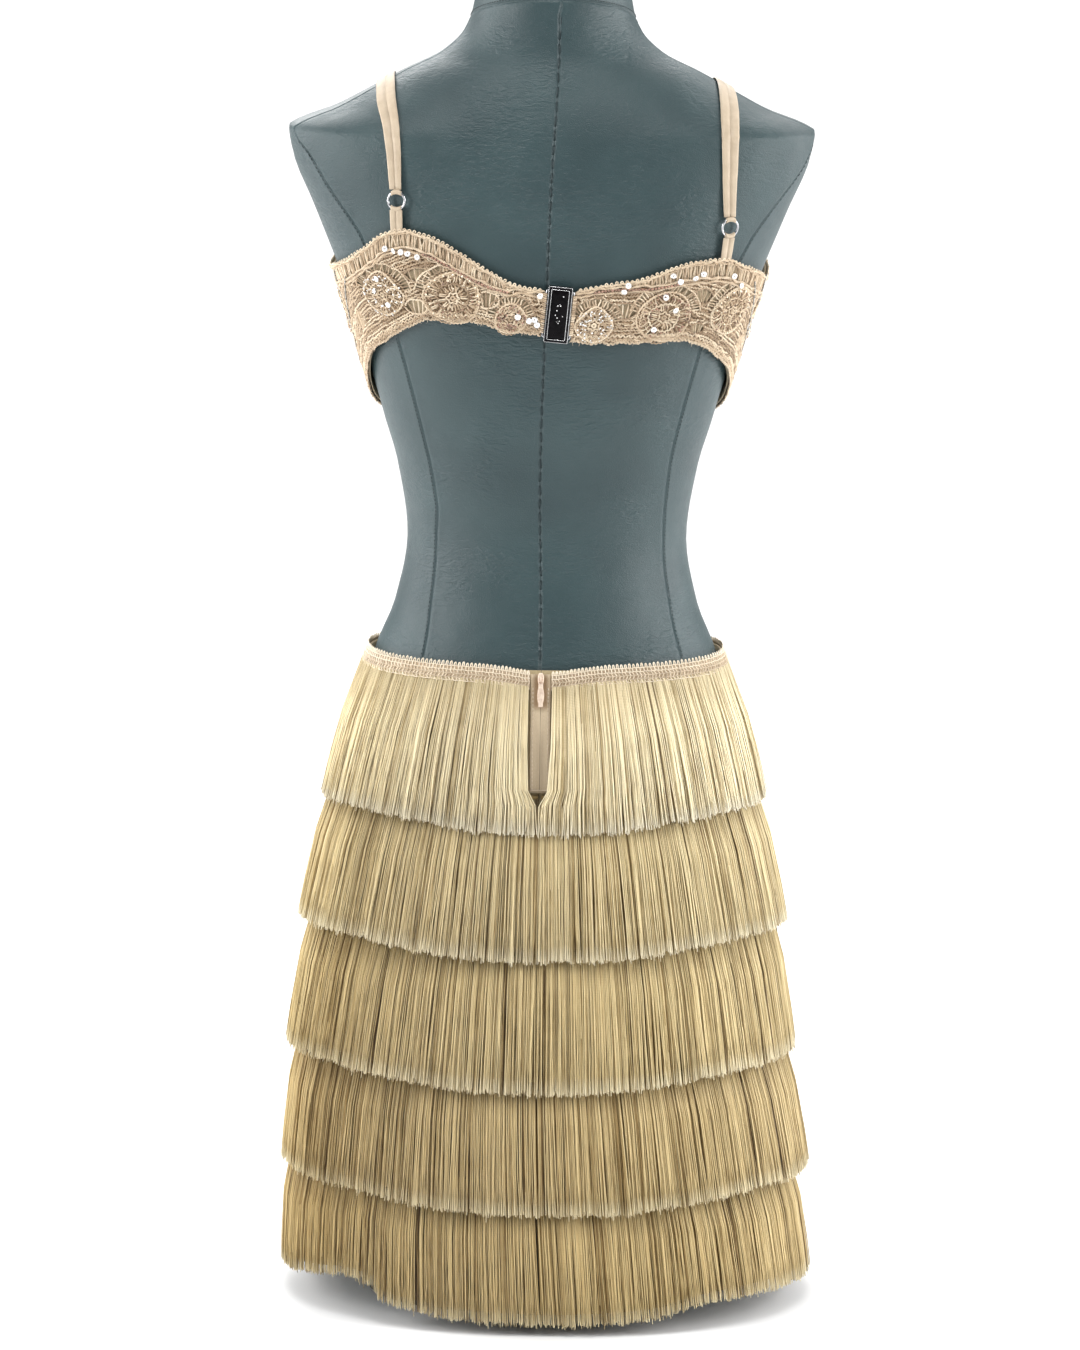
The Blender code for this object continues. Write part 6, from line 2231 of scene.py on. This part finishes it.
def add_curtain(shape, number, tier):
    """The deepest threads, as a ridged curtain painted dark for the shade between the threads, that ends above the
    tips.
    """
    strip_top, tip_height = tier.strip_top, tier.tip_height
    centre = float(back_angle(ZIP_X, strip_top))
    half = half_slit(tier.slit if number == 1 else 2 * SEAM, strip_top)
    angles = np.linspace(centre + half, centre + 360 - half, CURTAIN_COLUMNS)[:, None]
    share = np.array([0.04, 0.3, 0.6, 0.92])[None, :]
    start = strip_top - 1.5
    tip = tip_height + tip_lift(number, angles)
    heights = start + (tip - start) * share
    ridge = 0.5 * (np.arange(CURTAIN_COLUMNS) % 2)[:, None]
    radius = tier_radius(tier, angles, share, start) - CURTAIN_DEPTH * np.clip(0.25 + 2 * share, 0, 1) + ridge
    outer = drifted(number, round_point(angles, radius, heights), share)
    inner = drifted(number, round_point(angles, radius - 0.9, heights), share)
    # Painted shade: the curtain's low tone makes it dark.
    slab(shape, outer, inner, shade=0.12, along=0.5)


def make_tier(number, tier):
    rng = np.random.default_rng(100 + number)
    strip_top = tier.strip_top
    shape = Shape()
    paths, angles, tone = fringe_threads(number, tier, rng)
    up = round_point(angles, 1.0, 0 * angles)
    behind = np.abs(wrapped(angles[:, :1])) < BACK_REACH
    radius = np.where(behind, BACK_THREAD_RADIUS, FRONT_THREAD_RADIUS) * (1 - 0.25 * thread_shares(number) ** 6)
    tubes(shape, paths, up, radius, 3, shade=tone)
    add_curtain(shape, number, tier)
    centre = float(back_angle(ZIP_X, strip_top))
    half = half_slit(tier.slit, strip_top)
    heights = np.linspace(strip_top - STRIP_HEIGHT, strip_top, 4)
    inner = body_grid(centre + half, centre + 360 - half, 120, heights, BRAID_OFFSET)
    outer = body_grid(centre + half, centre + 360 - half, 120, heights, BRAID_OFFSET + BRAID_THICKNESS - 0.7)
    # The strip is painted in the threads' shaded root colour, a tone darker.
    slab(shape, outer, inner, shade=0.3, along=0.1)
    # Painted shadow at the roots: faint on the top tier, strong on the lower tiers under the tier above.
    painted_root_shadow = 0.95 if number == 1 else 0.4
    material = fringe_material(f"fringe_thread_{number}", painted_root_shadow, *FRINGE_COLORS_WITH_PAINTED_SHADE[number - 1])
    name = f"fringe_{number}"
    add_piece(name, finished(shape, name), material, [f"fringe_tier_{number}"])


# Floor, lights and camera

CAMERA_TARGET = (0.004, 0.0, 0.482)
CAMERA_DISTANCE = 6.0
CAMERA_PITCH = math.radians(10)
CAMERA_ROLL = math.radians(0.7)
LENS = 211.0
WORLD_STRENGTH = 0.34


def make_floor():
    shape = Shape()
    half = 30000.0
    line = np.linspace(-half, half, 9)
    x, y = np.meshgrid(line, line, indexing="ij")
    grid = np.stack([x, y, 0 * x - 0.4], -1)
    index = np.arange(81).reshape(9, 9)
    quads = np.stack([index[:-1, :-1], index[1:, :-1], index[1:, 1:], index[:-1, 1:]], -1)
    shape.add(grid, [quads])
    made = bpy.data.objects.new("floor", shape.mesh("floor"))
    made.data.materials.append(floor_material("floor"))
    bpy.context.scene.collection.objects.link(made)


def make_world():
    world = bpy.data.worlds.new("studio")
    world.use_nodes = True
    sky = world.node_tree.nodes["Background"]
    sky.inputs["Color"].default_value = (1.0, 1.0, 1.0, 1.0)
    sky.inputs["Strength"].default_value = WORLD_STRENGTH
    bpy.context.scene.world = world
    bpy.context.scene.view_settings.view_transform = "Standard"


def add_light(name, place, target, size, power):
    data = bpy.data.lights.new(name, "AREA")
    data.shape = "RECTANGLE"
    data.size, data.size_y = size
    data.energy = power
    made = bpy.data.objects.new(name, data)
    made.location = place
    made.rotation_euler = (Vector(target) - Vector(place)).to_track_quat("-Z", "Y").to_euler()
    bpy.context.scene.collection.objects.link(made)


def make_lights():
    """Soft boxes at both sides of the dress, and wide panels over the floor."""
    middle = (0.0, 0.0, 0.6)
    for sign, name in ((1, "left"), (-1, "right")):
        add_light(f"{name}_box", (sign * 2.5, 1.15, 1.4), middle, (0.9, 1.8), 54)
        add_light(f"{name}_rim", (sign * 2.3, -0.7, 1.2), middle, (0.8, 2.0), 34)
    add_light("top_box", (0.2, 1.0, 3.2), middle, (1.4, 0.8), 34)
    add_light("front_box", (0.4, -2.6, 2.0), middle, (1.8, 1.8), 34)
    add_light("backdrop_panel", (0.0, -9.0, 6.0), (0.0, -9.0, 0.0), (20.0, 14.0), 1300)


def make_camera():
    data = bpy.data.cameras.new("camera")
    data.lens = LENS
    data.sensor_width = 36.0
    data.clip_end = 100.0
    made = bpy.data.objects.new("camera", data)
    rise = CAMERA_DISTANCE * math.tan(CAMERA_PITCH)
    made.location = (CAMERA_TARGET[0], CAMERA_DISTANCE, CAMERA_TARGET[2] + rise)
    aim = (Vector(CAMERA_TARGET) - made.location).to_track_quat("-Z", "Y")
    made.rotation_mode = "QUATERNION"
    made.rotation_quaternion = aim @ Matrix.Rotation(CAMERA_ROLL, 4, "Z").to_quaternion()
    bpy.context.scene.collection.objects.link(made)
    bpy.context.scene.camera = made


# The dress

# Thread step in millimetres, sides of a thread, spacing of the rows in the close ground, and loose stitches.
BACK_DETAIL = (0.86, 4, 2.6, 420)
FRONT_DETAIL = (2.4, 3, 3.6, 70)
FRONT_TRIMS = ("gold", "clear", "copper", "gold", "clear", "copper")


def make_dress():
    make_form()
    make_neck_cap()
    make_form_stitching()
    make_lace(BACK_LEFT, 11, 150, 46, BACK_DETAIL, BACK_LEFT_SPANGLES, ("clear", "gold", "copper", "gold"))
    make_lace(BACK_RIGHT, 13, 140, 46, BACK_DETAIL, BACK_RIGHT_SPANGLES, ("clear", "copper", "gold", "clear"))
    make_lace(FRONT_LEFT, 15, 64, 40, FRONT_DETAIL, FRONT_SPANGLES, FRONT_TRIMS)
    make_lace(FRONT_RIGHT, 17, 64, 40, FRONT_DETAIL, FRONT_SPANGLES, FRONT_TRIMS)
    make_midriff()
    make_strap("left", 1, LEFT_STRAP, LEFT_RING[1])
    make_strap("right", -1, RIGHT_STRAP, RIGHT_RING[1])
    make_ring("left", LEFT_RING)
    make_ring("right", RIGHT_RING)
    make_tab("left", LEFT_RING, BACK_LEFT_EDGES)
    make_tab("right", RIGHT_RING, BACK_RIGHT_EDGES)
    make_clasp()
    make_skirt()
    make_waistband()
    make_zip_tape()
    hinge = zip_matrix()
    make_slider(hinge)
    make_pull(hinge)
    for number, tier in enumerate(FRINGE_TIERS, start=1):
        make_tier(number, tier)


make_dress()
make_floor()
make_world()
make_lights()
make_camera()
